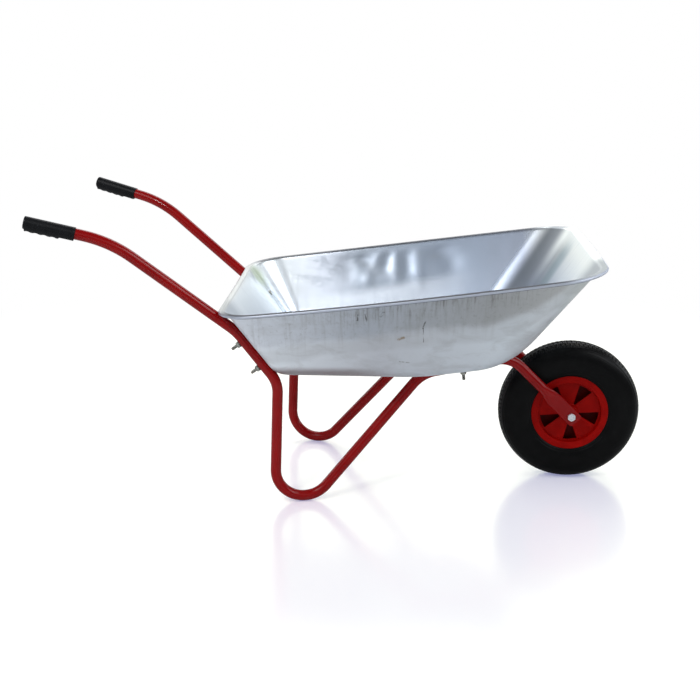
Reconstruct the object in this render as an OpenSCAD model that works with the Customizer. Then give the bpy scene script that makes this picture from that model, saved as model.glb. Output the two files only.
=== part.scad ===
// Garden wheelbarrow with one wheel: a pressed steel tray bolted onto two bent tubes,
// which carry a pneumatic wheel with a plastic rim between their flattened ends.
// Millimetres. +X points forward to the wheel, +Y to the left, +Z up. The ground is at
// z = 0, and the origin is midway between the grips' ends and the front of the tyre.

/* [Wheel] */
// Outer diameter of the tyre
tyre_d = 360; // [300:1:432]
// Width of the tyre at its widest
tyre_w = 87; // [76:1:105]
// Thickness of the tyre's side wall
tyre_wall = 6; // [5:0.5:8]
// Diameter over the rim's flanges
rim_d = 196; // [170:1:236]
// Width over the rim's flanges
rim_w = 75; // [64:1:78]
// Thickness of the rim's barrel and webs
rim_wall = 4; // [3:0.5:5]
// Height of the rim's flanges above the bead seat
flange_h = 12; // [9:0.5:14]
// Number of windows in each face of the rim
window_count = 5; // [4:1:6]
// Length of the rim's hub
hub_len = 100; // [84:1:120]
// Outer diameter of the rim's hub
hub_d = 40; // [34:1:48]
// Wall of the inner tube
inner_tube_wall = 2; // [1.5:0.5:3]

/* [Axle] */
// Diameter of the axle bolt
axle_d = 12; // [10:1:14]
// Outer diameter of the sleeve that the wheel turns on
sleeve_d = 17; // [16:0.5:20]
// Outer diameter of the hub bushes
bush_d = 24; // [22:0.5:28]
// Length of a hub bush inside the hub
bush_len = 18; // [12:1:24]
// Thickness of a bush's flange
bush_flange_t = 2; // [1.5:0.5:3]
// Width of the axle bolt's hexagon across its flats
axle_hex = 18; // [16:1:22]

/* [Frame tubes] */
// Outer diameter of the tubes
tube_d = 26; // [22:0.5:31.5]
// Wall of the tubes
tube_wall = 1.5; // [1.2:0.1:2.4]
// Gap between the tyre's side and the tube beside it
tyre_side_gap = 10.5; // [6:0.5:16]
// Gap between the tread and the tube's front bend, along the fork
tyre_fork_gap = 42; // [30:1:60]
// Slope of the fork below the horizontal
fork_angle = 44.6; // [38:0.1:52]
// Forward run of the rail under the tray
rail_run = 224; // [187:1:269]
// Height that the rail gains over that run
rail_rise = 25; // [15:1:35]
// Forward run of the leg's slanting front part
leg_run = 254; // [212:1:305]
// Length of the foot between its two bends
foot_len = 104; // [100:1:125]
// Forward lean of the leg's upright part
leg_lean = 11; // [0:1:20]
// Backward run of the tube behind the tray
back_run = 95; // [79:1:114]
// Rise of the tube behind the tray
back_rise = 127; // [106:1:152]
// Backward run of the handle's steep part
arm_run = 275; // [229:1:330]
// Rise of the handle's steep part
arm_rise = 225; // [188:1:270]
// Backward run of the handle's flat part, to the grip's end
grip_run = 185; // [160:1:222]
// Rise of the handle's flat part
grip_rise = 49; // [30:1:60]
// How much further out than the fork a tube lies at the rail's rear bend
rail_splay = 69; // [57:1:83]
// How much further out it lies at the foot's front bend
foot_splay = 136; // [113:1:163]
// How far inside the tray's side bead it lies along the upright leg
leg_inset = 105; // [84:1:142]
// How far inside it lies at the bend behind the tray
back_inset = 97; // [75:1:136]
// How much further out than the fork it lies at the handle's bend
arm_splay = 228; // [190:1:274]
// How much further out it lies at the grip's end
grip_splay = 262; // [218:1:314]

/* [Flattened ends] */
// Distance from the axle to where the tube starts to flatten
taper_start = 138; // [120:1:160]
// Distance from the axle to where the tube is flat
flat_start = 78; // [60:1:95]
// Distance that the flat end reaches past the axle
flat_reach = 20; // [16:1:24]
// Chamfer on the corners of the flat end
flat_chamfer = 4; // [2:1:8]

/* [Grips] */
// Length of a grip
grip_len = 115; // [96:1:138]
// Wall of a grip round the tube
grip_wall = 1.8; // [1.5:0.1:2.5]
// Thickness of a grip's closed end
grip_end_t = 4; // [3:0.5:6]
// How far the finger ridges stand out below the grip
ridge_h = 5; // [3:0.5:7]
// Distance between finger ridges
ridge_pitch = 19; // [16:1:22]
// Number of finger grooves
groove_count = 4; // [3:1:5]

/* [Tray] */
// Length of the tray between the middles of its end beads
tray_len = 893; // [740:1:1000]
// Width of the tray between the middles of its side beads, at the rear
tray_rear_w = 660; // [600:1:760]
// Width of the tray between the middles of its side beads, at the front
tray_front_w = 672; // [600:1:760]
// How far each side of the rim bows out at its middle
side_bow = 18; // [0:1:24]
// How far the rim bows out at the front
front_bow = 7; // [0:1:12]
// How far the rim bows in at the rear
rear_bow = 3; // [0:1:8]
// How far the rim sags at its middle
rim_sag = 3; // [0:0.5:6]
// Height of the rear rim above the tube's back bend
rear_rim_h = 54; // [33:1:83]
// Height of the front rim above the rail's front bend
front_rim_h = 267; // [230:1:310]
// Thickness of the tray's sheet
tray_t = 0.8; // [0.7:0.1:1.2]
// Radius of the rolled bead round the rim
bead_r = 4; // [3:0.5:5]
// Width of the rim from the top of the wall to the middle of the bead
rim_inset = 11; // [8:0.5:14]
// Radius of the rim's front corners
front_corner_r = 102; // [80:1:130]
// Radius of the rim's rear corners
rear_corner_r = 90; // [70:1:110]
// Width of the tray's floor at the rear, to where the walls would meet it
floor_rear_w = 524; // [500:1:540]
// Width of the tray's floor at the front, to where the walls would meet it
floor_front_w = 438; // [400:1:470]
// How far ahead of the rail's front bend the floor would meet the front wall
floor_nose = 4; // [-10:1:20]
// Height that the floor gains from its lowest line to the rear
floor_rear_rise = 9; // [0:1:15]
// Radius of the floor's front corners
floor_front_r = 100; // [70:1:120]
// Radius of the floor's rear corners
floor_rear_r = 24; // [18:1:40]
// Length along wall and floor of the blend between them, at the front
front_blend = 93; // [60:1:95]
// Length of the blend between floor and side walls
side_blend = 43; // [30:1:44]
// Length of the blend between floor and rear wall
rear_blend = 30; // [24:1:34]

/* [Fasteners] */
// Diameter of the tray bolts
bolt_d = 8; // [6:1:8]
// Length of the tray bolts under their heads
bolt_len = 50; // [44:1:60]
// Distance of the upper rear bolt from the end of the tube's back bend
upper_bolt_at = 8.4; // [7.4:0.1:14.4]
// Distance of the lower rear bolt from the corner of the tube's back bend
lower_bolt_at = 102; // [90:1:106]
// Distance of the front bolt from the corner of the rail's front bend
front_bolt_at = 129; // [100:1:150]

/* [Hidden] */

$fn = 64;

// Clearances
seat_gap = 0.1;     // between the tray and the tubes that it is bolted to
slip = 0.05;        // radial, between parts that slide over each other or turn
hole_play = 0.3;    // radial, between a bolt and its hole
end_play = 0.3;     // axial, between the turning wheel and the spacers
bend_swell = 0.1;   // how much further out a tube's bends lie than its straights
bend_bite = 0.5;    // how far a straight reaches into a bend
cut = 1;            // how far a cutting solid passes the face that it cuts

tube_r = tube_d / 2;
tyre_r = tyre_d / 2;
rim_r = rim_d / 2;
axle_z = tyre_r;

// ---- The tubes' centreline, side view (x from the axle, height) and distance from the middle
fork_half = tyre_w / 2 + tyre_side_gap + tube_r;
fork_len = tyre_r + tyre_fork_gap;
fork_x = -fork_len * cos(fork_angle);
fork_z = axle_z + fork_len * sin(fork_angle);
rail_x = fork_x - rail_run;
rail_z = fork_z - rail_rise;
foot_front_x = rail_x - leg_run;
foot_rear_x = foot_front_x - foot_len;
leg_x = foot_rear_x + leg_lean;
back_x = leg_x - back_run;
back_z = rail_z + back_rise;
arm_x = back_x - arm_run;
arm_z = back_z + arm_rise;
grip_x = arm_x - grip_run;
grip_z = arm_z + grip_rise;

grip_end = [grip_x, fork_half + grip_splay, grip_z];
arm_bend = [arm_x, fork_half + arm_splay, arm_z];
back_bend = [back_x, tray_rear_w / 2 - back_inset, back_z];
leg_bend = [leg_x, tray_rear_w / 2 - leg_inset, rail_z];
foot_z = tube_r + bend_swell;
foot_rear = [foot_rear_x, leg_bend.y, foot_z];
foot_front = [foot_front_x, fork_half + foot_splay, foot_z];
rail_bend = [rail_x, fork_half + rail_splay, rail_z];
fork_bend = [fork_x, fork_half, fork_z];
axle_end = [0, fork_half, axle_z];

// Direction from the first point to the second
function dir(p, q) = (q - p) / norm(q - p);

tube_end = grip_end + (grip_end_t + slip) * dir(grip_end, arm_bend);
taper_end = axle_end + taper_start * dir(axle_end, fork_bend);
path = [tube_end, arm_bend, back_bend, leg_bend, foot_rear, foot_front, rail_bend, fork_bend,
        taper_end];
// Bend radius at each point of the path between its ends, where the straights leave room for it
full_bend_r = [286, 144, 77, 70, 70, 87, 80];
least_straight = 2;     // straight left between two bends

// ---- Where the whole object lies along X
grip_r = tube_r + slip + grip_wall;
grip_round = 3;
grip_dir = dir(grip_end, arm_bend);
grip_tilt = sqrt(1 - grip_dir.x * grip_dir.x);
rear_reach = grip_x - (grip_r - grip_round) * grip_tilt - grip_round * (1 - grip_dir.x);
axle_x = -(rear_reach + tyre_r) / 2;

// ---- The planes that the tray rests on: the rail's slope and the slope behind the tray
rail_slope = rail_rise / rail_run;
rail_tilt = atan(rail_slope);
back_tilt = atan(back_rise / back_run);
rail_normal = [-sin(rail_tilt), 0, cos(rail_tilt)];
back_normal = [sin(back_tilt), 0, cos(back_tilt)];
seat_d = tube_r + seat_gap;

// Height of the seat on the rails at x
function rail_seat_z(x) = rail_z + (x - rail_x) * rail_slope + seat_d / cos(rail_tilt);

// Place along x of the seat on the back tubes at height z
function back_seat_x(z) =
    back_x + seat_d / sin(back_tilt) - (z - back_z) / tan(back_tilt);

// ---- Tray
rear_rim_z = back_z + rear_rim_h;
front_rim_z = fork_z + front_rim_h;
sheet_r = bead_r - tray_t;
brim_rear_x = back_seat_x(rear_rim_z + sheet_r);
rim_rear_x = brim_rear_x - rim_inset;
rim_front_x = rim_rear_x + tray_len;
floor_front_x = fork_x + floor_nose;
low_line_back = 11; // how far behind the rail's rear bend the floor is lowest
floor_low_x = rail_x - low_line_back;
floor_low_z = rail_seat_z(floor_low_x);
floor_rear_z = floor_low_z + floor_rear_rise;
floor_rear_x = back_seat_x(floor_rear_z);
floor_blend = 44;   // half length of the blend along the floor's lowest line
flat_rear_r = 6;    // radius of the flat floor's rear corners, inside the blend
flat_front_r = 12;  // radius of its front corners
brim_bend = 4;      // how far the bend between wall and brim reaches down the wall
brim_turn = 3;      // how far it reaches along the brim
end_steps = 3;      // steps along half an end of the tray
corner_steps = 8;   // steps round a corner
side_steps = 8;     // steps along a side
blend_steps = 5;    // steps through the blend between floor and wall
curl_steps = 7;     // steps round the rolled bead
curl_angle = 280;   // how far the bead is rolled

// Weight of a bow at x: 1 at the middle of the tray and 0 at its ends
function bow(x) =
    let (u = 2 * (x - rim_rear_x) / tray_len - 1) 1 - u * u;

// Height of the bead's middle at x
function rim_z(x) =
    rear_rim_z + (front_rim_z - rear_rim_z) * (x - brim_rear_x) / tray_len
    - rim_sag * (bow(x) - bow(brim_rear_x));

// Height of the underside of the floor at x: two planes with a blend between them
function floor_z(x) =
    let (u = x - floor_low_x,
         rear_slope = -floor_rear_rise / (floor_low_x - floor_rear_x),
         change = rail_slope - rear_slope)
    u > floor_blend ? rail_seat_z(x)
    : u < -floor_blend ? floor_low_z + rear_slope * u
    : floor_low_z + rear_slope * u + change * pow(u + floor_blend, 2) / (4 * floor_blend);

// Left half of a rounded outline, from the front's middle to the rear's middle.
// Each entry is [x, y, heading of the outward normal].
function half_outline(x_rear, x_front, w, r_rear, r_front) = concat(
    [for (i = [0 : end_steps - 1]) [x_front, (w - r_front) * i / end_steps, 0]],
    [for (i = [0 : corner_steps])
        let (a = 90 * i / corner_steps)
        [x_front - r_front * (1 - cos(a)), w - r_front * (1 - sin(a)), a]],
    [for (i = [1 : side_steps - 1])
        let (s = i / side_steps)
        [(x_front - r_front) * (1 - s) + (x_rear + r_rear) * s, w, 90]],
    [for (i = [0 : corner_steps])
        let (a = 90 + 90 * i / corner_steps)
        [x_rear + r_rear * (1 + cos(a)), w - r_rear * (1 - sin(a)), a]],
    [for (i = [1 : end_steps]) [x_rear, (w - r_rear) * (1 - i / end_steps), 180]]);

// A whole outline from its left half
function whole(half) =
    concat(half, [for (i = [len(half) - 2 : -1 : 1]) [half[i].x, -half[i].y, -half[i].z]]);

// Outline at the top of the wall or along the bead, set in from the bead by inset
function rim_outline(inset, x_bow) =
    let (w = (tray_rear_w + tray_front_w) / 4 - inset)
    [for (p = whole(half_outline(rim_rear_x + inset, rim_front_x - inset, w,
                                 rear_corner_r - inset, front_corner_r - inset)))
        let (u = (p.x - rim_rear_x) / tray_len,
             half_w = tray_rear_w / 2 * (1 - u) + tray_front_w / 2 * u + side_bow * bow(p.x) - inset,
             across = 1 - p.y * p.y / (w * w),
             push = pow(abs(2 * u - 1), 3) * across * x_bow,
             x = p.x + (u > 0.5 ? front_bow : rear_bow) * push)
        [x, p.y * half_w / w, p.z]];

// Outline on the floor between x_rear and x_front with the given corner radii, inset from where the
// side walls would meet the floor
function floor_outline(x_rear, x_front, inset, r_rear, r_front) =
    let (w = (floor_rear_w + floor_front_w) / 4 - inset)
    [for (p = whole(half_outline(x_rear, x_front, w, r_rear, r_front)))
        let (u = (p.x - floor_rear_x) / (floor_front_x - floor_rear_x),
             half_w = floor_rear_w / 2 * (1 - u) + floor_front_w / 2 * u - inset)
        [p.x, p.y * half_w / w, p.z]];

// Length of the blend for an outline heading
function blend_at(a) =
    let (c = cos(a))
    side_blend + ((c > 0 ? front_blend : rear_blend) - side_blend) * c * c;

// Underside of the sheet along one section, from the floor's lowest line out to the bead's free edge.
// The floor ends at flat, and foot is where it would meet the wall.
function tray_section(bead, top, foot, flat) =
    let (edge = [foot.x, foot.y, floor_z(foot.x)],
         brim = [top.x, top.y, rim_z(top.x) + sheet_r],
         inner = [flat.x, flat.y, floor_z(flat.x)],
         outer = edge + blend_at(foot.z) * dir(edge, brim),
         fold = min(1 / 3, floor_blend / max(cut, abs(flat.x - floor_low_x))),
         curl = [bead.x, bead.y, rim_z(bead.x)],
         curl_top = curl + [0, 0, sheet_r],
         out_3d = [cos(bead.z), sin(bead.z), 0])
    concat(
        [[floor_low_x, 0, floor_z(floor_low_x)]],
        [for (s = [fold, (1 + fold) / 2])
            let (x = floor_low_x + (flat.x - floor_low_x) * s)
            [x, flat.y * s, floor_z(x)]],
        [for (i = [0 : blend_steps])
            let (t = i / blend_steps)
            (1 - t) * (1 - t) * inner + 2 * t * (1 - t) * edge + t * t * outer],
        [(outer + brim) / 2,
         brim + brim_bend * dir(brim, outer),
         brim + brim_turn * dir(brim, curl_top)],
        [for (i = [0 : curl_steps])
            let (a = curl_angle * i / curl_steps)
            curl + sheet_r * (sin(a) * out_3d + [0, 0, cos(a)])]);

// Bent sheet over a grid of sections that share their first point, thickened upwards by t
module sheet(sections, t) {
    m = len(sections);
    n = len(sections[0]);
    upper = [for (j = [0 : m - 1])
        [for (i = [0 : n - 1])
            let (along = sections[j][min(i + 1, n - 1)] - sections[j][max(i - 1, 0)],
                 round = sections[(j + 1) % m][i] - sections[(j + m - 1) % m][i],
                 normal = i == 0 ? [0, 0, 1] : cross(along, round))
            sections[j][i] + t * normal / norm(normal)]];
    points = concat(
        [sections[0][0], upper[0][0]],
        [for (j = [0 : m - 1]) for (i = [1 : n - 1]) sections[j][i]],
        [for (j = [0 : m - 1]) for (i = [1 : n - 1]) upper[j][i]]);
    half = m * (n - 1);
    function low(j, i) = i == 0 ? 0 : 2 + (j % m) * (n - 1) + i - 1;
    function high(j, i) = i == 0 ? 1 : 2 + half + (j % m) * (n - 1) + i - 1;
    faces = concat(
        [for (j = [0 : m - 1]) [low(j, 0), low(j, 1), low(j + 1, 1)]],
        [for (j = [0 : m - 1]) [high(j, 0), high(j + 1, 1), high(j, 1)]],
        [for (j = [0 : m - 1], i = [1 : n - 2]) [low(j, i), low(j, i + 1), low(j + 1, i + 1)]],
        [for (j = [0 : m - 1], i = [1 : n - 2]) [low(j, i), low(j + 1, i + 1), low(j + 1, i)]],
        [for (j = [0 : m - 1], i = [1 : n - 2]) [high(j, i), high(j + 1, i + 1), high(j, i + 1)]],
        [for (j = [0 : m - 1], i = [1 : n - 2]) [high(j, i), high(j + 1, i), high(j + 1, i + 1)]],
        [for (j = [0 : m - 1]) [low(j, n - 1), high(j, n - 1), high(j + 1, n - 1)]],
        [for (j = [0 : m - 1]) [low(j, n - 1), high(j + 1, n - 1), low(j + 1, n - 1)]]);
    polyhedron(points, faces, convexity = 8);
}

// ---- Placing
// Moves its children from the axle's frame to the object's frame
module placed() {
    translate([axle_x, 0, 0]) children();
}

// Stands its children on the axle, their +Z along +Y
module on_axle() {
    placed() translate([0, 0, axle_z]) rotate([-90, 0, 0]) children();
}

// Puts its children at origin p with their +Z along z and their +X as near to side as it can be
module aimed(p, z, side) {
    y = cross(z, side) / norm(cross(z, side));
    x = cross(y, z);
    multmatrix([[x.x, y.x, z.x, p.x],
                [x.y, y.y, z.y, p.y],
                [x.z, y.z, z.z, p.z],
                [0, 0, 0, 1]])
        children();
}

// Draws its children on the left side, or mirrored on the right side
module side_of(side) {
    if (side == "left") {
        children();
    } else {
        mirror([0, 1, 0]) children();
    }
}

// Stands its children at each tray bolt of the left side: origin on the tube's centreline,
// +Z square to the tray's sheet and into the tray
module at_tray_bolts() {
    placed() {
        for (at = [bend_reach(2) + upper_bolt_at, lower_bolt_at]) {
            aimed(back_bend + at * dir(back_bend, leg_bend), back_normal, [0, 1, 0]) children();
        }
        aimed(fork_bend + front_bolt_at * dir(fork_bend, rail_bend), rail_normal, [0, 1, 0])
            children();
    }
}

// ---- Frame tubes
// Length that a bend of radius 1 at point i of the path takes from the straights on its two sides
function bend_share(i) =
    let (a = dir(path[i], path[i - 1]), b = dir(path[i], path[i + 1]))
    tan((180 - acos(a * b)) / 2);

// The same for the bend of full radius, and 0 at the path's ends
function full_reach(i) =
    i < 1 || i > len(path) - 2 ? 0 : full_bend_r[i - 1] * bend_share(i);

// Share of the full radius that the straight from point i to the next one leaves room for
function room(i) =
    min(1, (norm(path[i + 1] - path[i]) - least_straight) / (full_reach(i) + full_reach(i + 1)));

function bend_r(i) = full_bend_r[i - 1] * min(room(i - 1), room(i));

function bend_reach(i) = bend_r(i) * bend_share(i);

// Round rod of radius r along the path, with true arcs in its bends, which starts ahead of the
// path's first point by lead. The bends are a hair thicker than the straights, which end inside
// them, so that no two curved faces coincide.
module path_rod(r, lead) {
    last = len(path) - 1;
    for (i = [0 : last - 1]) {
        ahead = dir(path[i], path[i + 1]);
        start = path[i] + (i == 0 ? -lead : bend_reach(i) - bend_bite) * ahead;
        stop = path[i + 1] - (i + 1 == last ? 0 : bend_reach(i + 1) - bend_bite) * ahead;
        aimed(start, ahead, [0, 1, 0]) cylinder(h = norm(stop - start), r = r);
    }
    for (i = [1 : last - 1]) {
        a = dir(path[i], path[i - 1]);
        b = dir(path[i], path[i + 1]);
        turn = 180 - acos(a * b);
        centre = path[i] + (a + b) / norm(a + b) * bend_r(i) / cos(turn / 2);
        start = path[i] + a * bend_reach(i);
        stop = path[i] + b * bend_reach(i);
        axis = cross(start - centre, stop - centre);
        aimed(centre, axis / norm(axis), (start - centre) / bend_r(i))
            rotate_extrude(angle = turn, $fn = 96)
                translate([bend_r(i), 0]) circle(r = r + bend_swell);
    }
}

// Stands its children on the fork line: origin on the axle, +X along the fork away from it
module on_fork() {
    translate(axle_end) rotate([0, 180 + fork_angle, 0]) children();
}

flat_w = round(PI * (tube_d - tube_wall) * 10) / 20;
flat_t = 2 * tube_wall;
slot_t = 0.6;           // height of the hollow where the tube goes flat
slot_side = 4;          // metal beside that hollow
taper_swell = 0.08;     // how much further out the taper's corners lie than the tube

// Slab of the given width and height, 1 mm long, starting at x
module fork_slab(x, w, h) {
    translate([x, -h / 2, -w / 2]) cube([1, h, w]);
}

// Flat end of a tube, with clipped corners
module fork_flat() {
    rotate([90, 0, 0]) linear_extrude(flat_t, center = true)
        polygon([[flat_start + bend_bite, -flat_w / 2], [flat_start + bend_bite, flat_w / 2],
                 [flat_chamfer - flat_reach, flat_w / 2], [-flat_reach, flat_w / 2 - flat_chamfer],
                 [-flat_reach, flat_chamfer - flat_w / 2], [flat_chamfer - flat_reach, -flat_w / 2]]);
}

// Part of a fork tube between round and flat, for a tube of radius r and a flat of width w, height h.
// Its ends reach over the tube's end and into the flat.
module fork_taper(r, w, h) {
    hull() {
        translate([taper_start, 0, 0]) rotate([0, 90, 0])
            cylinder(h = bend_bite, r = r + taper_swell, $fn = 32);
        fork_slab(flat_start, w, h);
    }
}

module frame_tube(side) {
    color([0.55, 0.07, 0.08]) side_of(side) difference() {
        placed() {
            difference() {
                union() {
                    path_rod(tube_r, 0);
                    on_fork() {
                        fork_taper(tube_r, flat_w, flat_t);
                        fork_flat();
                    }
                }
                path_rod(tube_r - tube_wall, cut);
                on_fork() fork_taper(tube_r - tube_wall, flat_w - 2 * slot_side, slot_t);
            }
        }
        at_tray_bolts() translate([0, 0, -tube_d])
            cylinder(h = 2 * tube_d, r = bolt_d / 2 + hole_play);
        placed() on_fork() rotate([90, 0, 0])
            cylinder(h = tube_d, r = axle_d / 2 + hole_play, center = true);
    }
}

// ---- Grips
groove_r = 11;          // radius of a finger groove
groove_h = 0.4 * ridge_h;   // height of a groove's floor over the grip's round part
groove_phase = 0.65;    // place of the first groove, in ridge pitches
last_ridge_w = 4;       // width of the front ridge
ridge_slope = 35;       // slope of its front

// Local frame of a grip: +Z along the tube from the grip's closed end, +X down
module grip(side) {
    ridge_reach = ridge_pitch * groove_count + last_ridge_w;
    color([0.03, 0.03, 0.03])
    side_of(side) placed() aimed(grip_end, grip_dir, [0, 0, -1]) difference() {
        union() {
            rotate_extrude() {
                translate([0, grip_round]) square([grip_r, grip_len - grip_round]);
                square([grip_r - grip_round, grip_round]);
                translate([grip_r - grip_round, grip_round]) circle(r = grip_round);
            }
            difference() {
                translate([ridge_h, 0, grip_round]) cylinder(h = ridge_reach - grip_round, r = grip_r);
                for (i = [0 : groove_count - 1]) {
                    translate([grip_r + groove_h + groove_r, 0, ridge_pitch * (i + groove_phase)])
                        rotate([90, 0, 0]) cylinder(h = 4 * grip_r, r = groove_r, center = true);
                }
                translate([grip_r - 3, -2 * grip_r, ridge_reach]) rotate([0, -ridge_slope, 0])
                    cube([4 * ridge_h, 4 * grip_r, 4 * ridge_h]);
            }
        }
        translate([0, 0, grip_end_t]) cylinder(h = grip_len, r = tube_r + slip);
    }
}

// ---- Fasteners
// Distances along a tray bolt from the tube's centreline
head_seat = seat_d + tray_t;
washer_t = 1.6;
washer_r = bolt_d;
nut_h = 0.8 * bolt_d;
nut_hex = 1.625 * bolt_d;
head_r = 1.06 * bolt_d;
head_h = 0.5 * bolt_d;
thread_depth = 0.2; // how far the middle of the bare thread lies inside the shank

// Hexagonal prism of the given width across its flats
module hexagon(across, h) {
    cylinder(h = h, r = across / sqrt(3), $fn = 6);
}

module tray_bolts(side) {
    dome_r = (head_r * head_r + head_h * head_h) / (2 * head_h);
    color([0.75, 0.76, 0.78]) side_of(side) at_tray_bolts() {
        translate([0, 0, head_seat - bolt_len])
            cylinder(h = bolt_len, r = bolt_d / 2 - thread_depth);
        translate([0, 0, -tube_r - washer_t - nut_h])
            cylinder(h = tube_r + washer_t + nut_h + head_seat, r = bolt_d / 2);
        translate([0, 0, head_seat]) intersection() {
            cylinder(h = head_h, r = head_r);
            translate([0, 0, head_h - dome_r]) sphere(r = dome_r);
        }
    }
}

module tray_washers(side) {
    color([0.7, 0.71, 0.73]) side_of(side) at_tray_bolts()
        translate([0, 0, -tube_r - washer_t]) difference() {
            cylinder(h = washer_t, r = washer_r);
            translate([0, 0, -cut]) cylinder(h = washer_t + 2 * cut, r = bolt_d / 2 + hole_play);
        }
}

module tray_nuts(side) {
    color([0.7, 0.71, 0.73]) side_of(side) at_tray_bolts()
        translate([0, 0, -tube_r - washer_t - nut_h]) difference() {
            hexagon(nut_hex, nut_h);
            translate([0, 0, -cut]) cylinder(h = nut_h + 2 * cut, r = bolt_d / 2 + slip);
        }
}

// ---- Axle, along its own +Z from the right fork end to the left
fork_outer = fork_half + flat_t / 2;
fork_inner = fork_half - flat_t / 2;
axle_head_h = 0.625 * axle_d;
axle_nut_h = 0.9 * axle_d;
axle_washer_t = 2.5;
axle_tail = 4;      // thread that shows past the nut
head_chamfer = 0.5; // how far the head's corners are turned off below its rim

module axle_bolt() {
    tip = fork_outer + axle_washer_t + axle_nut_h + axle_tail;
    color([0.8, 0.81, 0.83]) on_axle() {
        translate([0, 0, -fork_outer - axle_head_h]) intersection() {
            hexagon(axle_hex, axle_head_h);
            translate([0, 0, -head_chamfer])
                cylinder(h = axle_hex, r1 = axle_hex / 2, r2 = 1.5 * axle_hex);
        }
        translate([0, 0, -fork_outer]) cylinder(h = fork_outer + tip, r = axle_d / 2);
    }
}

module axle_washer() {
    color([0.7, 0.71, 0.73]) on_axle() translate([0, 0, fork_outer]) difference() {
        cylinder(h = axle_washer_t, r = axle_d);
        translate([0, 0, -cut]) cylinder(h = axle_washer_t + 2 * cut, r = axle_d / 2 + hole_play);
    }
}

module axle_nut() {
    color([0.7, 0.71, 0.73]) on_axle() translate([0, 0, fork_outer + axle_washer_t]) difference() {
        hexagon(axle_hex, axle_nut_h);
        translate([0, 0, -cut]) cylinder(h = axle_nut_h + 2 * cut, r = axle_d / 2 + slip);
    }
}

// Steel sleeve clamped between the flat ends, which the wheel's bushes turn on
module axle_sleeve() {
    color([0.62, 0.63, 0.65]) on_axle() difference() {
        cylinder(h = 2 * fork_inner, r = sleeve_d / 2, center = true);
        cylinder(h = 2 * fork_inner + 2 * cut, r = axle_d / 2 + hole_play, center = true);
    }
}

// Ring on the sleeve between a bush and a flat end
module spacer(side) {
    hub_end = hub_len / 2 + bush_flange_t + end_play;
    color([0.12, 0.12, 0.12]) side_of(side) on_axle() translate([0, 0, hub_end]) difference() {
        cylinder(h = fork_inner - hub_end, r = bush_d / 2);
        translate([0, 0, -cut]) cylinder(h = fork_inner, r = sleeve_d / 2 + slip);
    }
}

// ---- Wheel, its axis along its own +Z
seat_r = rim_r - flange_h;
barrel_r = seat_r - rim_wall;
ring_r = 0.8 * rim_r;           // inner edge of the flange's face
web_z = rim_w / 2 - 10;         // outer face of a windowed web
window_r = ring_r - 3;          // distance from the axle to a window's outer edge
window_in_r = hub_d / 2 + 1;    // and to its inner edge
window_half = 2.4;              // half width of a window at its inner edge
window_phase = 14;              // heading of the first window, forward and down
window_spread = 18.7;           // half angle between a window's sides
valve_heading = window_phase - 360 / window_count;
valve_z = web_z / 2;            // place of the valve between the middle web and the left web
stem_r = 5.6;
thread_r = 3.87;
stem_root = seat_r + 3;         // distances from the axle along the valve
stem_step = barrel_r - 14;
stem_tip = barrel_r - 34;
cap_r = 5.2;
cap_len = 14;
cap_top = 2;                    // thickness of the cap's closed end
bush_flange_w = 3;              // how far a bush's flange stands out over the hub's bore

// Stands its children on the valve's line: +Z points at the axle, origin on the axle
module on_valve() {
    on_axle() rotate([0, 0, valve_heading]) translate([0, 0, valve_z]) rotate([0, -90, 0]) children();
}

module rim_section() {
    translate([bush_d / 2, -hub_len / 2]) square([(hub_d - bush_d) / 2, hub_len]);
    translate([barrel_r, -rim_w / 2]) square([rim_wall, rim_w]);
    translate([hub_d / 2 - cut, -rim_wall / 2]) square([barrel_r - hub_d / 2 + 2 * cut, rim_wall]);
    for (s = [-1, 1]) {
        translate([hub_d / 2 - cut, s * (web_z - rim_wall / 2) - rim_wall / 2])
            square([barrel_r - hub_d / 2 + 2 * cut, rim_wall]);
        translate([ring_r, s * (rim_w / 2 - rim_wall / 2) - rim_wall / 2])
            square([rim_r - ring_r - rim_wall / 2, rim_wall]);
        translate([rim_r - rim_wall / 2, s * (rim_w / 2 - rim_wall / 2)]) circle(r = rim_wall / 2);
    }
}

module window_shape() {
    wide = window_half + (rim_r - window_in_r) * tan(window_spread);
    intersection() {
        circle(r = window_r);
        polygon([[window_in_r, -window_half], [rim_r, -wide],
                 [rim_r, wide], [window_in_r, window_half]]);
    }
}

module wheel_rim() {
    color([0.75, 0.05, 0.03]) difference() {
        on_axle() difference() {
            rotate_extrude() rim_section();
            for (i = [0 : window_count - 1], s = [-1, 1]) {
                rotate([0, 0, window_phase + 360 * i / window_count])
                    translate([0, 0, s * (web_z - rim_wall / 2)])
                        linear_extrude(rim_wall + 2 * cut, center = true) window_shape();
            }
        }
        on_valve() translate([0, 0, -seat_r - cut]) cylinder(h = rim_wall + 2 * cut, r = stem_r + slip);
    }
}

// Flanged bush in the left or right end of the hub
module hub_bush(side) {
    color([0.85, 0.84, 0.8]) side_of(side) on_axle() difference() {
        union() {
            translate([0, 0, hub_len / 2 - bush_len]) cylinder(h = bush_len, r = bush_d / 2 - slip);
            translate([0, 0, hub_len / 2]) cylinder(h = bush_flange_t, r = bush_d / 2 + bush_flange_w);
        }
        translate([0, 0, hub_len / 2 - bush_len - cut])
            cylinder(h = bush_len + bush_flange_t + 2 * cut, r = sleeve_d / 2 + slip);
    }
}

// Section of the tyre: a rounded arch over the rim, square at the shoulders
arch_power = 2.5;
arch_r = tyre_r - 0.49 * tyre_w;    // radius where the tyre is widest
flank_r = rim_r + 1;                // where the side wall meets the flange's lip
flank_depth = 1.5 * (arch_r - flank_r);
bead_out = rim_w / 2 - rim_wall - seat_gap;
bead_w = 8;                         // width of the tyre's bead
bead_in = bead_out - bead_w;
tread_t = 1.4 * tyre_wall;
arch_steps = 36;

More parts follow.
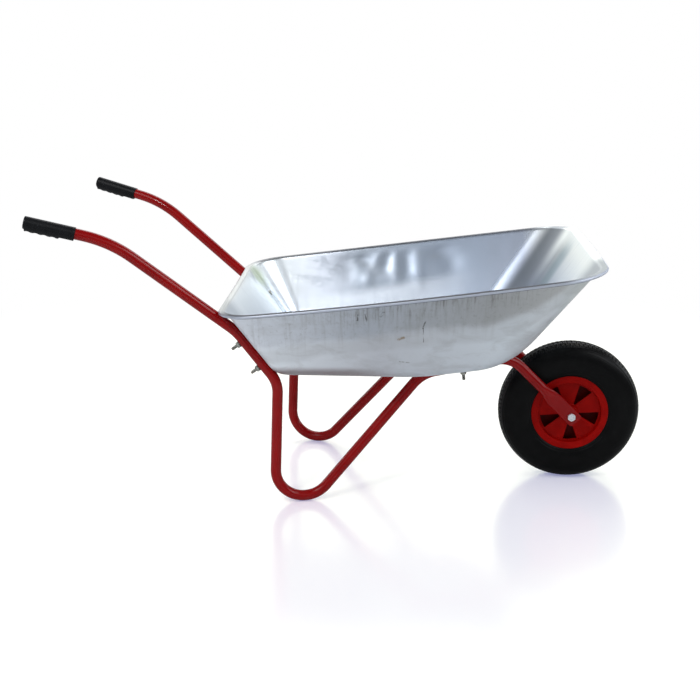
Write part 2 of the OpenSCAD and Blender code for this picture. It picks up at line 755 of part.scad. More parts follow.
// Points [radius, z] of an arch inside the tyre's outer one by side and crown
function arch(side, crown) =
    let (low = asin(pow((arch_r - flank_r) / flank_depth, arch_power / 2)))
    [for (i = [0 : arch_steps])
        let (a = -low + (180 + 2 * low) * i / arch_steps,
             c = cos(a),
             s = sin(a),
             up = s > 0 ? tyre_r - crown - arch_r : flank_depth)
        [arch_r + sign(s) * up * pow(abs(s), 2 / arch_power),
         sign(c) * (tyre_w / 2 - side) * pow(abs(c), 2 / arch_power)]];

module tyre() {
    base = seat_r + seat_gap;
    color([0.03, 0.03, 0.03]) on_axle() rotate_extrude($fn = 96) difference() {
        polygon(concat([[base, bead_out], [flank_r, bead_out]], arch(0, 0),
                       [[flank_r, -bead_out], [base, -bead_out]]));
        polygon(concat([[base - cut, bead_in]], arch(tyre_wall, tread_t), [[base - cut, -bead_in]]));
    }
}

module inner_tube() {
    base = seat_r + end_play;
    gap = end_play;
    w = inner_tube_wall;
    color([0.1, 0.1, 0.1]) difference() {
        on_axle() rotate_extrude($fn = 96) difference() {
            polygon(concat([[base, bead_in - gap]], arch(tyre_wall + gap, tread_t + gap),
                           [[base, gap - bead_in]]));
            polygon(concat([[base + w, bead_in - gap - w]],
                           arch(tyre_wall + gap + w, tread_t + gap + w),
                           [[base + w, w + gap - bead_in]]));
        }
        on_valve() translate([0, 0, -stem_root - cut]) cylinder(h = stem_root, r = stem_r + slip);
    }
}

module valve_stem() {
    color([0.72, 0.6, 0.32]) on_valve() {
        translate([0, 0, -stem_root]) cylinder(h = stem_root - stem_step, r = stem_r);
        translate([0, 0, -stem_step]) cylinder(h = stem_step - stem_tip, r = thread_r);
    }
}

module valve_cap() {
    color([0.05, 0.05, 0.05]) on_valve() translate([0, 0, cap_top - stem_tip - cap_len]) difference() {
        cylinder(h = cap_len, r = cap_r);
        translate([0, 0, -cut]) cylinder(h = cap_len - cap_top + cut, r = thread_r + slip);
    }
}

module tray() {
    bead = rim_outline(0, 1);
    top = rim_outline(rim_inset, 0);
    foot = floor_outline(floor_rear_x, floor_front_x, 0, floor_rear_r, floor_front_r);
    flat = floor_outline(floor_rear_x + rear_blend, floor_front_x - front_blend, side_blend,
                         flat_rear_r, flat_front_r);
    color([0.72, 0.75, 0.79]) difference() {
        placed() sheet([for (j = [0 : len(foot) - 1])
            tray_section(bead[j], top[j], foot[j], flat[j])], tray_t);
        for (side = ["left", "right"]) {
            side_of(side) at_tray_bolts()
                translate([0, 0, tube_r - cut]) cylinder(h = 4 * cut, r = bolt_d / 2 + hole_play);
        }
    }
}

tray();
frame_tube("left");  // left_frame_tube
frame_tube("right");  // right_frame_tube
grip("left");  // left_grip
grip("right");  // right_grip
tray_bolts("left");  // left_tray_bolts
tray_bolts("right");  // right_tray_bolts
tray_washers("left");  // left_tray_washers
tray_washers("right");  // right_tray_washers
tray_nuts("left");  // left_tray_nuts
tray_nuts("right");  // right_tray_nuts
axle_bolt();
axle_washer();
axle_nut();
axle_sleeve();
spacer("left");  // left_spacer
spacer("right");  // right_spacer
wheel_rim();
hub_bush("left");  // left_hub_bush
hub_bush("right");  // right_hub_bush
tyre();
inner_tube();
valve_stem();
valve_cap();
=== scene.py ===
from functools import partial, reduce
from itertools import product
from math import acos, asin, atan, atan2, copysign, cos, degrees, pi, radians, sin, sqrt, tan
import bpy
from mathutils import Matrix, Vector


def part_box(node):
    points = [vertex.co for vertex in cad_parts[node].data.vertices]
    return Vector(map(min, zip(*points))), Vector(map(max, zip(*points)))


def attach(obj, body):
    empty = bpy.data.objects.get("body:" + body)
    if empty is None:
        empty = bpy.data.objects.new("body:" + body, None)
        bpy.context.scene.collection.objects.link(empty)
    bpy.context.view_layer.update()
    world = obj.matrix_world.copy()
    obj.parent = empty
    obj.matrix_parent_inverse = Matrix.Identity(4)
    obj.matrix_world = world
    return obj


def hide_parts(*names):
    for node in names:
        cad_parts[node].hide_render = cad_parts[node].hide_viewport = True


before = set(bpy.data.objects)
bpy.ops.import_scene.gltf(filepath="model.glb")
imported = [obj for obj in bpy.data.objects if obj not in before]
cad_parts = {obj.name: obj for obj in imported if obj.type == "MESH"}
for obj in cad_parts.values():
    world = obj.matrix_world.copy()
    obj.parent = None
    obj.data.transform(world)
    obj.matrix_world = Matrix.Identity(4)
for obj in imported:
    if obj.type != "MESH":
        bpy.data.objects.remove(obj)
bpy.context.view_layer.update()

from types import SimpleNamespace

import bpy
import numpy as np
from mathutils import Matrix, Vector
from numpy.linalg import norm

# A garden wheelbarrow: the visible skin of each CAD node, in the same frame.
# Sizes are millimetres and repeat the part's own, with X forward, Y to the left and Z up from the
# ground under the axle. to_row() turns them into the row frame in metres. Materials are placed in
# that row frame, in metres.

MM = 0.001
scene = bpy.context.scene
low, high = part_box("axle_sleeve")
AXLE_X = (low.x + high.x) / 2 / MM
AXLE_Z = (low.z + high.z) / 2 / MM


def to_row(p):
    return ((p[0] + AXLE_X) * MM, p[1] * MM, p[2] * MM)


def unit(v):
    v = np.asarray(v, float)
    return v / norm(v)


def smooth(t):
    t = min(1.0, max(0.0, t))
    return t * t * (3 - 2 * t)


# ---- material helpers
class Nodes:
    """The node tree of a new material, or of a world."""

    def __init__(self, name, world=False):
        self.owner = (bpy.data.worlds if world else bpy.data.materials).new(name)
        self.owner.use_nodes = True
        self.tree = self.owner.node_tree
        self.tree.nodes.clear()
        self.out = self.node("OutputWorld" if world else "OutputMaterial").inputs[0]

    def node(self, kind, inputs=(), **attrs):
        made = self.tree.nodes.new("ShaderNode" + kind)
        for key, value in attrs.items():
            setattr(made, key, value)
        for key, value in dict(inputs).items():
            self.feed(made.inputs[key], value)
        return made

    def feed(self, socket, value):
        if isinstance(value, bpy.types.NodeSocket):
            self.tree.links.new(value, socket)
        elif isinstance(value, bpy.types.Node):
            self.tree.links.new(value.outputs[0], socket)
        else:
            socket.default_value = value

    def place(self, scale=(1, 1, 1), uv=False):
        source = self.node("TexCoord").outputs["UV" if uv else "Object"]
        return self.node("Mapping", {"Vector": source, "Scale": scale}).outputs[0]

    def noise(self, at, scale, detail=3.0, rough=0.5, distort=0.0, colour=False):
        made = self.node("TexNoise", {"Vector": at, "Scale": scale, "Detail": detail,
                                      "Roughness": rough, "Distortion": distort})
        return made.outputs[1 if colour else 0]

    def sum(self, op, a, b=0.0, c=0.0, clamp=False):
        made = self.node("Math", operation=op, use_clamp=clamp)
        for socket, value in zip(made.inputs, (a, b, c)):
            self.feed(socket, value)
        return made.outputs[0]

    def spread(self, value, lo, hi, to_lo=0.0, to_hi=1.0, soft=True):
        made = self.node("MapRange", {"Value": value, "From Min": lo, "From Max": hi,
                                      "To Min": to_lo, "To Max": to_hi},
                         interpolation_type="SMOOTHSTEP" if soft else "LINEAR")
        return made.outputs[0]

    def band(self, value, lo_out, lo, hi, hi_out):
        """1 from lo to hi, falling to 0 at lo_out and hi_out."""
        return self.times(self.spread(value, lo_out, lo), self.spread(value, hi_out, hi))

    def mix(self, fac, a, b):
        made = self.node("Mix", data_type="RGBA")
        self.feed(made.inputs[0], fac)
        for socket, value in zip(made.inputs[6:8], (a, b)):
            self.feed(socket, (*value, 1.0) if isinstance(value, tuple) else value)
        return made.outputs[2]

    def coat(self, tone, *coats):
        """Tone with each (colour, *masks) laid over it in turn."""
        for colour, *masks in coats:
            tone = self.mix(self.times(*masks), tone, colour)
        return tone

    def join(self, a, b, fac=None):
        """Shaders a and b added up, or b over a by fac."""
        made = self.node("AddShader") if fac is None else self.node("MixShader", {0: fac})
        for socket, part in zip(list(made.inputs)[-2:], (a, b)):
            self.feed(socket, part)
        return made

    def ramp(self, fac, *stops):
        """Colours by fac from (place, red, green, blue) stops."""
        made = self.node("ValToRGB", {0: fac})
        band = made.color_ramp
        while len(band.elements) < len(stops):
            band.elements.new(0.5)
        for element, (at, *colour) in zip(band.elements, stops):
            element.position = at
            element.color = (*colour, 1.0)
        return made.outputs[0]

    def bump(self, height, distance, strength, **normal):
        inputs = {"Height": height, "Distance": distance, "Strength": strength}
        return self.node("Bump", inputs | normal).outputs[0]

    def split(self, vector):
        return tuple(self.node("SeparateXYZ", {0: vector}).outputs)

    def near(self, at, centre, inner, outer):
        """1 within inner of centre, falling to 0 at outer."""
        return self.spread(self.vector("DISTANCE", at, centre), inner, outer, 1.0, 0.0)

    def along(self, at, a, b, inner, outer):
        """1 within inner of the segment from a to b, falling to 0 at outer."""
        run = Vector(b) - Vector(a)
        back = self.vector("SUBTRACT", at, a)
        share = self.vector("DOT_PRODUCT", back, tuple(run / run.length_squared))
        share = self.sum("ADD", share, 0.0, clamp=True)
        step = self.vector("SCALE", tuple(run), share)
        return self.spread(self.vector("DISTANCE", back, step), inner, outer, 1.0, 0.0)

    def times(self, *values):
        return reduce(partial(self.sum, "MULTIPLY"), values)

    def add(self, *values):
        return reduce(partial(self.sum, "ADD"), values)

    def vector(self, op, a, b):
        """A vector operation; SCALE takes a number for b, and DISTANCE and DOT_PRODUCT give one."""
        made = self.node("VectorMath", {0: a, ("Scale" if op == "SCALE" else 1): b}, operation=op)
        return made.outputs["Value" if op in ("DISTANCE", "DOT_PRODUCT") else "Vector"]

    def finish(self, **sockets):
        shader = self.node("BsdfPrincipled")
        for key, value in sockets.items():
            self.feed(shader.inputs[key.replace("_", " ")], value)
        return self.end(shader)

    def end(self, shader):
        self.feed(self.out, shader)
        return self.owner


# ---- materials
def sheet_fields(n):
    """What the tray's finish is mixed from: places, noises and masks.

    u runs along the rim from the front middle and v down from the bead, both in metres; share
    goes from 0 at the tray's rear end to 1 at its front.
    """
    body = n.place()
    x, y, z = n.split(body)
    u, v, _ = n.split(n.place(uv=True))
    _, sideways, upward = n.split(n.node("NewGeometry").outputs["Normal"])
    across = n.sum("ABSOLUTE", sideways)
    on_side = n.spread(across, 0.3, 0.6)

    def runs_down(wide, tall, detail):
        """Streaks that run down a wall, whichever way the wall faces."""
        a = n.noise(n.place((wide, 2, tall)), 1.0, detail, 0.68)
        b = n.noise(n.place((2, wide, tall)), 1.0, detail, 0.68)
        return n.add(n.times(a, on_side), n.times(b, n.sum("SUBTRACT", 1.0, on_side)))

    streak = runs_down(85, 7, 4)
    crease = 0.0
    bent = ((-0.257, 0.224, 0.442), (-0.230, 0.221, 0.405), (-0.206, 0.206, 0.375))
    for a, b in zip(bent, bent[1:]):
        crease = n.sum("MAXIMUM", n.along(body, a, b, 0.001, 0.007), crease)
    return SimpleNamespace(
        body=body, x=x, y=y, z=z, u=u, v=v, across=across, streak=streak, crease=crease,
        outside=n.spread(upward, 0.12, -0.12),
        near_wall=n.spread(y, -0.1, -0.2),
        share=n.spread(x, -0.34, 0.56, soft=False),
        cloud=n.noise(body, 7, 3, 0.55, 0.4),
        patch=n.noise(n.place((14, 14, 30)), 1.0, 4, 0.6, 0.6),
        fine=n.noise(body, 130, 4, 0.6),
        drip=runs_down(170, 14, 3),
        stain=n.times(n.near(body, (-0.277, 0.236, 0.470), 0.012, 0.055),
                      n.spread(streak, 0.25, 0.5, 0.5, 1.0), 0.9))


def outside_tone(n, s):
    """Duller above a tide line that slopes with the tray, and streaked under the bead."""
    fore = n.sum("MAXIMUM", n.sum("SUBTRACT", s.x, 0.33), 0.0)
    line = n.sum("MULTIPLY_ADD", n.times(fore, fore), 3.1, 0.437)
    line = n.sum("MULTIPLY_ADD", s.x, 0.119, line)
    ragged = n.times(n.sum("SUBTRACT", s.cloud, 0.5), 0.045)
    tide = n.add(n.sum("SUBTRACT", s.z, line), ragged)
    dull = n.ramp(s.share, (0.0, 0.76, 0.80, 0.86), (0.22, 0.63, 0.67, 0.73),
                  (0.42, 0.455, 0.50, 0.56), (0.75, 0.36, 0.37, 0.375), (1.0, 0.50, 0.51, 0.50))
    clean = n.ramp(s.share, (0.0, 0.88, 0.92, 0.97), (0.2, 0.86, 0.91, 0.96),
                   (0.45, 0.63, 0.66, 0.71), (0.78, 0.74, 0.80, 0.85), (1.0, 0.76, 0.80, 0.81))
    grimy = n.times(n.band(s.x, -0.12, 0.08, 0.36, 0.46), n.spread(s.v, 0.115, 0.036),
                    n.spread(s.patch, 0.3, 0.6, 0.35, 1.0))
    return n.coat(
        clean,
        (dull, n.spread(tide, -0.016, 0.019), 0.85),
        # a darker line where the tide mark dried, then cloudy patches and faint streaks
        ((0.46, 0.48, 0.50), n.band(tide, -0.048, -0.03, -0.012, 0.004), 0.3),
        ((0.30, 0.30, 0.29), n.spread(s.patch, 0.42, 0.7), 0.22),
        ((0.22, 0.21, 0.185), n.spread(s.streak, 0.5, 0.72), n.spread(tide, -0.05, 0.03), 0.2),
        # drips under the bead, and specks above the tide line
        ((0.13, 0.12, 0.095), n.spread(s.drip, 0.46, 0.66), grimy, 0.62),
        ((0.2, 0.195, 0.17), n.spread(s.fine, 0.55, 0.7), n.spread(tide, -0.01, 0.02), 0.2),
        # the front wall, and painted shade on the rear wall's foot
        ((0.42, 0.44, 0.36), n.spread(s.x, 0.46, 0.56), 0.35),
        ((0.36, 0.335, 0.35), n.spread(s.z, 0.368, 0.346), n.spread(s.x, 0.12, -0.02), 0.9))


def inside_tone(n, s):
    """White at the ends as painted light, blue-grey painted shade and smears along the far wall's
    middle.
    """
    metal_light_and_shade = n.ramp(s.share, (0.0, 0.76, 0.80, 0.80), (0.16, 0.84, 0.89, 0.93),
                  (0.26, 0.72, 0.77, 0.86), (0.38, 0.38, 0.43, 0.50), (0.60, 0.34, 0.395, 0.48),
                  (0.74, 0.38, 0.44, 0.54), (0.88, 0.42, 0.47, 0.57), (1.0, 0.95, 0.98, 0.93))
    dark_grey_patch = n.along(s.body, (-0.292, 0.200, 0.488), (-0.280, 0.176, 0.466), 0.002, 0.014)
    rub = n.along(s.body, (0.0, 0.309, 0.462), (0.33, 0.319, 0.498), 0.0002, 0.0016)
    return n.coat(
        metal_light_and_shade,
        # smears high on the far wall, painted light low on it, faint streaks
        ((0.33, 0.37, 0.42), n.spread(s.patch, 0.45, 0.68), n.spread(s.v, 0.15, 0.09),
         n.band(s.x, -0.24, -0.1, 0.16, 0.3), 0.55),
        ((0.86, 0.92, 1.0), n.spread(s.v, 0.13, 0.17), n.band(s.x, -0.26, -0.16, 0.1, 0.36), 0.6),
        ((0.36, 0.39, 0.43), n.spread(s.streak, 0.52, 0.72), 0.2),
        # the rear wall's cream film, and in its far corner a stain, a dark grey patch and painted
        # shade along the crease
        ((0.90, 0.86, 0.73), n.spread(s.x, -0.285, -0.315), n.spread(s.v, 0.14, 0.05),
         n.spread(s.cloud, 0.3, 0.6, 0.5, 1.0), 0.9),
        ((0.42, 0.49, 0.34), s.stain),
        ((0.33, 0.36, 0.36), dark_grey_patch, 0.45),
        ((0.18, 0.21, 0.23), s.crease, 0.5),
        # painted shade on the near wall, two painted reflection bands in the far front corner, and
        # a rubbed line on the far wall
        ((0.26, 0.29, 0.33), s.near_wall, 0.6),
        ((0.27, 0.30, 0.34), n.band(s.u, 0.26, 0.3, 0.325, 0.35),
         n.spread(s.cloud, 0.2, 0.5, 0.6, 1.0), 0.8),
        ((0.42, 0.52, 0.54), n.band(s.u, 0.08, 0.14, 0.17, 0.23), n.spread(s.v, 0.03, 0.1), 0.75),
        ((0.85, 0.93, 0.95), rub, n.spread(s.cloud, 0.35, 0.55), 0.5))


# scratches down the near wall: from, to, width, strength
SCRATCHES = (((0.175, -0.313, 0.490), (0.169, -0.304, 0.470), 0.0012, 0.8),
             ((0.169, -0.304, 0.470), (0.172, -0.287, 0.433), 0.0009, 0.7),
             ((0.021, -0.326, 0.507), (0.019, -0.320, 0.492), 0.0014, 0.8),
             ((0.037, -0.326, 0.508), (0.041, -0.317, 0.488), 0.0012, 0.75),
             ((0.078, -0.327, 0.513), (0.073, -0.322, 0.503), 0.0022, 0.5),
             ((0.116, -0.265, 0.378), (0.139, -0.263, 0.376), 0.0009, 0.6))


def tray_steel():
    """Galvanised sheet, weathered outside, brighter inside, with light and shade painted on it."""
    n = Nodes("zinc_sheet")
    s = sheet_fields(n)
    tone = n.mix(s.outside, inside_tone(n, s), outside_tone(n, s))

    # scratches and a rusty fleck, at places that a noise makes ragged
    waver = 0.006
    worn = n.vector("SCALE", n.noise(s.body, 55.0, 2.0, colour=True), waver)
    worn = n.vector("ADD", n.vector("ADD", s.body, worn), (-waver / 2,) * 3)
    for a, b, wide, dark in SCRATCHES:
        mark = n.along(worn, a, b, wide * 0.5, wide * 2.2)
        tone = n.coat(tone, ((0.09, 0.085, 0.075), mark, n.spread(s.fine, 0.34, 0.5), dark))
    fleck = n.along(worn, (0.114, -0.293, 0.441), (0.125, -0.296, 0.446), 0.0014, 0.005)
    brim = n.band(s.v, 0.0122, 0.0140, 0.0268, 0.0285)
    tone = n.coat(
        tone,
        ((0.28, 0.19, 0.09), fleck, n.spread(s.fine, 0.35, 0.5), 0.7),
        # the rolled bead, bluish as painted reflection; the flat brim at the rear, and darker along
        # the sides as painted reflection; painted shade on the bead's underside
        ((0.54, 0.58, 0.67), n.spread(s.v, 0.0158, 0.0145), 0.85),
        ((0.72, 0.74, 0.72), brim, n.spread(s.x, -0.27, -0.31), 0.9),
        ((0.10, 0.10, 0.108), brim, n.band(s.x, -0.31, -0.27, 0.46, 0.53), 0.85),
        ((0.075, 0.085, 0.14), n.spread(s.v, 0.0094, 0.0078), 0.85))

    rough = n.add(
        n.spread(s.outside, 0.0, 1.0, 0.27, 0.42, soft=False),
        n.times(n.spread(s.fine, 0.3, 0.7, -0.03, 0.04), s.outside),
        # the end walls, the near wall's inside, the bead and brim, the stain
        n.times(n.spread(s.across, 0.92, 0.55), n.spread(s.x, -0.1, 0.2, 0.04, 0.13)),
        n.times(s.near_wall, n.sum("SUBTRACT", 1.0, s.outside), 0.24),
        n.times(n.spread(s.v, 0.0275, 0.0258), n.spread(s.v, 0.0135, 0.015, -0.05, 0.14)),
        n.times(s.stain, 0.25))
    below_brim = n.spread(s.v, 0.026, 0.034)
    height = n.add(n.times(s.fine, s.outside, 0.1), n.times(s.streak, 0.25),
                   n.times(s.crease, -0.9))
    normal = n.bump(n.times(s.cloud, below_brim), 0.004, 0.16)
    normal = n.bump(n.times(height, below_brim), 0.0006, 0.25, Normal=normal)
    return n.finish(Base_Color=tone, Metallic=0.92, Roughness=rough, Normal=normal)


def tube_paint():
    n = Nodes("red_paint")
    cloud = n.noise(n.place(), 14, 3)
    tone = n.mix(n.spread(cloud, 0.3, 0.7), (0.25, 0.0016, 0.0022), (0.31, 0.0034, 0.0036))
    rough = n.spread(cloud, 0.3, 0.7, 0.10, 0.14)
    return n.finish(Base_Color=tone, Roughness=rough, Specular_IOR_Level=0.2)


def plain(name, a, b, rough, metal=0.0, scale=60, fine=600, grit=(-0.05, 0.06),
          bump=(0.0002, 0.4), shine=0.5, dust_and_shade=None):
    """A finish between tones a and b with an even grain; dust_and_shade gives (colour, mask,
    roughness), for the tread's dust and for the rim drum's painted shade.
    """
    n = Nodes(name)
    body = n.place()
    cloud = n.noise(body, scale, 4, 0.6)
    grain = n.noise(body, fine, 3, 0.6)
    tone = n.mix(n.spread(cloud, 0.3, 0.7), a, b)
    rough = n.add(n.spread(grain, 0.3, 0.7, *grit), rough)
    if dust_and_shade:
        colour, mask, rougher = dust_and_shade(n, body, cloud)
        tone = n.mix(mask, tone, colour)
        rough = n.add(rough, n.times(mask, rougher))
    return n.finish(Base_Color=tone, Metallic=metal, Roughness=rough, Specular_IOR_Level=shine,
                    Normal=n.bump(grain, *bump))


def drum_shade(n, body, cloud):
    """Painted shade: dark inside the rim's drum, between the webs."""
    from_middle = n.sum("ABSOLUTE", n.split(body)[1])
    mask = n.times(n.spread(from_middle, 0.0262, 0.0246), n.spread(cloud, 0.2, 0.7, 0.9, 0.7))
    return (0.035, 0.0012, 0.0008), mask, 0.0


def tread_dust(n, body, cloud):
    """Dusty brown along the tread's edge."""
    hub = (AXLE_X * MM, 0.0, AXLE_Z * MM)
    radius = n.vector("DISTANCE", n.vector("MULTIPLY", body, (1.0, 0.0, 1.0)), hub)
    mask = n.times(n.spread(radius, 0.174, 0.1785), n.spread(cloud, 0.35, 0.6), 0.5)
    return (0.024, 0.019, 0.013), mask, 0.25


BLACK = (0.012,) * 3, (0.02,) * 3
MATERIAL = {
    "tray_steel": tray_steel(),
    "tube_paint": tube_paint(),
    "grip": plain("black_pvc", (0.0035, 0.0038, 0.0048), (0.0065, 0.007, 0.0085), 0.42, shine=0.16),
    "fastener_zinc": plain("bright_zinc", (0.16, 0.165, 0.15), (0.50, 0.50, 0.46), 0.26, 0.95,
                           scale=180),
    "axle_zinc": plain("axle_zinc", (0.55, 0.58, 0.62), (0.86, 0.88, 0.90), 0.28, 0.9, scale=240),
    "sleeve_steel": plain("bare_steel", (0.4, 0.4, 0.41), (0.55, 0.55, 0.56), 0.35, 0.95),
    "spacer": plain("spacer_plastic", *BLACK, 0.45, shine=0.3),
    "wheel_rim": plain("red_plastic", (0.28, 0.0014, 0.0006), (0.35, 0.0024, 0.001), 0.4, scale=30,
                       shine=0.06, dust_and_shade=drum_shade),
    "hub_bush": plain("pale_nylon", (0.45, 0.43, 0.38), (0.55, 0.53, 0.47), 0.45),
    "tyre": plain("black_rubber", (0.0013, 0.0014, 0.0015), (0.003, 0.0031, 0.0033), 0.34, scale=40,
                  fine=700, grit=(-0.04, 0.05), bump=(0.00015, 0.3), shine=0.1, dust_and_shade=tread_dust),
    "inner_tube": plain("butyl", (0.012, 0.012, 0.013), (0.02, 0.02, 0.02), 0.5, shine=0.3),
    "valve_stem": plain("brass", (0.5, 0.36, 0.14), (0.62, 0.46, 0.2), 0.3, 1.0),
    "valve_cap": plain("cap_plastic", *BLACK, 0.4, shine=0.3),
}


# ---- mesh helpers
class Shape:
    """Points in millimetres, with faces."""

    def __init__(self, points=(), faces=(), flip=False):
        self.points, self.faces = [], []
        self.add(points, faces, flip)

    def add(self, points, faces, flip=False):
        base = len(self.points)
        self.points += [tuple(map(float, p)) for p in points]
        self.faces += [tuple(base + i for i in (reversed(f) if flip else f)) for f in faces]

    def mirrored(self):
        return Shape([(x, -y, z) for x, y, z in self.points], self.faces, flip=True)


def polar(r, angle, z):
    return (r * cos(angle), r * sin(angle), z)


def circle(r, z, steps):
    return [polar(r, 2 * pi * k / steps, z) for k in range(steps)]


def grid(rows, cols, loop_rows, loop_cols):
    """Faces of a grid of points, row by row."""
    made = []
    for i in range(rows if loop_rows else rows - 1):
        a, b = i * cols, (i + 1) % rows * cols
        for j in range(cols if loop_cols else cols - 1):
            k = (j + 1) % cols
            made.append((a + j, a + k, b + k, b + j))
    return made


def piece(node, shape, slot_name=None, body="frame", sharp=32, name=None):
    """Show shape in place of the CAD node; edges over sharp degrees stay crisp."""
    name, slot_name = name or node + "_skin", slot_name or node
    mesh = bpy.data.meshes.new(name)
    mesh.from_pydata([to_row(p) for p in shape.points], [], shape.faces)
    mesh.validate()
    mesh.shade_smooth()
    mesh.set_sharp_from_angle(angle=radians(sharp))
    made = bpy.data.objects.new(name, mesh)
    scene.collection.objects.link(made)
    mesh.materials.append(MATERIAL[slot_name])
    made.modifiers.new("normals", "WEIGHTED_NORMAL").keep_sharp = True
    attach(made, body)
    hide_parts(node)
    return made


def curve(a, b, c, steps):
    """Points on the way from a to c, drawn towards b."""
    shares = [k / steps for k in range(steps + 1)]
    return [(1 - t) ** 2 * a + 2 * t * (1 - t) * b + t * t * c for t in shares]


def fillet(corners, steps=3):
    """A polygon of (r, z, radius) corners with each corner rounded to its radius."""
    made, n = [], len(corners)
    for i, (x, y, radius) in enumerate(corners):
        p = np.array((x, y), float)
        if radius <= 0:
            made.append(tuple(p))
            continue
        a = np.array(corners[i - 1][:2], float) - p
        b = np.array(corners[(i + 1) % n][:2], float) - p
        la, lb = norm(a), norm(b)
        a, b = a / la, b / lb
        half = acos(max(-1, min(1, a @ b))) / 2
        back = min(radius / tan(half), la * 0.49, lb * 0.49)
        made += map(tuple, curve(p + a * back, p, p + b * back, steps))
    return made


def lathe(profile, stand, steps=96, closed=True):
    """A profile of (r, z) turned about the Z axis and put in place by stand."""
    points = [stand(polar(r, 2 * pi * i / steps, z)) for i in range(steps) for r, z in profile]
    return Shape(points, grid(steps, len(profile), True, closed))


def collar(bore, rim, z0, z1, bore_edge, rim_edge, stand, steps=96):
    """A ring between two radii with rounded edges."""
    return lathe(fillet([(bore, z0, bore_edge), (rim, z0, rim_edge), (rim, z1, rim_edge),
                         (bore, z1, bore_edge)]), stand, steps)


def on_axle(p):
    """Z along the axle, to the left; X forward and Y down."""
    return (p[0], p[2], AXLE_Z - p[1])


def aimed(origin, z, side):
    """A function that stands a point on origin, its Z along z and its X as near side as can be."""
    z = unit(z)
    y = unit(np.cross(z, side))
    x = np.cross(y, z)
    o = np.asarray(origin, float)
    return lambda p: o + p[0] * x + p[1] * y + p[2] * z


def both(node, shape, slot_name=None, name=None, **more):
    """A left piece from shape and a right one from its mirror."""
    for side, made in (("left_", shape), ("right_", shape.mirrored())):
        piece(side + node, made, slot_name or node, name=side + (name or node + "_skin"), **more)


# ---- sizes shared with the part
TYRE_R, TYRE_W = 180.0, 87.0
TUBE_R, WALL = 13.0, 1.5
TYRE_GAP, FORK_REACH, FORK_ANGLE = 10.5, TYRE_R + 42, radians(44.6)
FORK_Y = TYRE_W / 2 + TYRE_GAP + TUBE_R
# the corners of the left tube's centre line, from the fork's bend back to the grip
FORK = np.array((-FORK_REACH * cos(FORK_ANGLE), FORK_Y,
                 TYRE_R + FORK_REACH * sin(FORK_ANGLE)))
RAIL = FORK + (-224, 69, -25)
FOOT_Z = TUBE_R + 0.1
FOOT_FRONT = np.array((RAIL[0] - 254, FORK_Y + 136, FOOT_Z))
FOOT_REAR = np.array((FOOT_FRONT[0] - 104, FORK_Y + 158, FOOT_Z))
LEG = np.array((FOOT_REAR[0] + 11, FORK_Y + 158, RAIL[2]))
BACK = LEG + (-95, 8, 127)
ARM = BACK + (-275, 62, 225)
GRIP = ARM + (-185, 34, 49)
AXLE = np.array((0, FORK_Y, TYRE_R))
GRIP_DIR = unit(ARM - GRIP)
GRIP_END = 4.05  # from the grip's closed end to the tube's
PATH = [GRIP + GRIP_END * GRIP_DIR, ARM, BACK, LEG, FOOT_REAR, FOOT_FRONT, RAIL, FORK, AXLE]
BEND_R = [286, 144, 77, 70, 70, 87, 80]
RAIL_SLOPE = 25 / 224
BACK_TILT = atan2(127, 95)
SEAT = TUBE_R + 0.1  # from the tube's centre line to the tray's underside
SHEET = 0.8


# ---- frame tubes
BEND_STEP = 2.5  # degrees


def tube_line():
    """(point, tangent) from the axle back to the grip, with true arcs."""
    points = PATH[::-1]
    line = []
    for before, p, after, radius in zip(points, points[1:], points[2:], BEND_R[::-1]):
        a, b = unit(before - p), unit(after - p)
        turn = pi - acos(a @ b)
        reach = radius * tan(turn / 2)
        centre = p + unit(a + b) * radius / cos(turn / 2)
        start, stop = p + a * reach, p + b * reach
        axis = unit(np.cross(start - centre, stop - centre))
        arm = start - centre
        steps = max(6, round(degrees(turn) / BEND_STEP))
        for k in range(steps + 1):
            w = turn * k / steps
            out = arm * cos(w) + np.cross(axis, arm) * sin(w)
            line.append((centre + out, unit(np.cross(axis, out))))
    line.append((points[-1], unit(points[-1] - points[-2])))
    return line


def tube_ring(flat, half_w, half_t, steps=64):
    """Cross-section between round (flat 0) and pressed flat (flat 1), as (along width, along Y)."""
    ring = []
    middle = half_w - half_t
    straight, bend = 4 * middle, 2 * pi * half_t
    whole = straight + bend
    for k in range(steps):
        a = 2 * pi * k / steps
        s = (k / steps * whole + bend / 4) % whole
        if s < bend / 2:
            w = s / half_t - pi / 2
            px, py = middle + half_t * cos(w), half_t * sin(w)
        elif s < bend / 2 + straight / 2:
            px, py = middle - (s - bend / 2), half_t
        elif s < bend + straight / 2:
            w = (s - bend / 2 - straight / 2) / half_t + pi / 2
            px, py = -middle + half_t * cos(w), half_t * sin(w)
        else:
            px, py = -middle + (s - bend - straight / 2), -half_t
        ring.append(((1 - flat) * TUBE_R * cos(a) + flat * px,
                     (1 - flat) * TUBE_R * sin(a) + flat * py))
    return ring


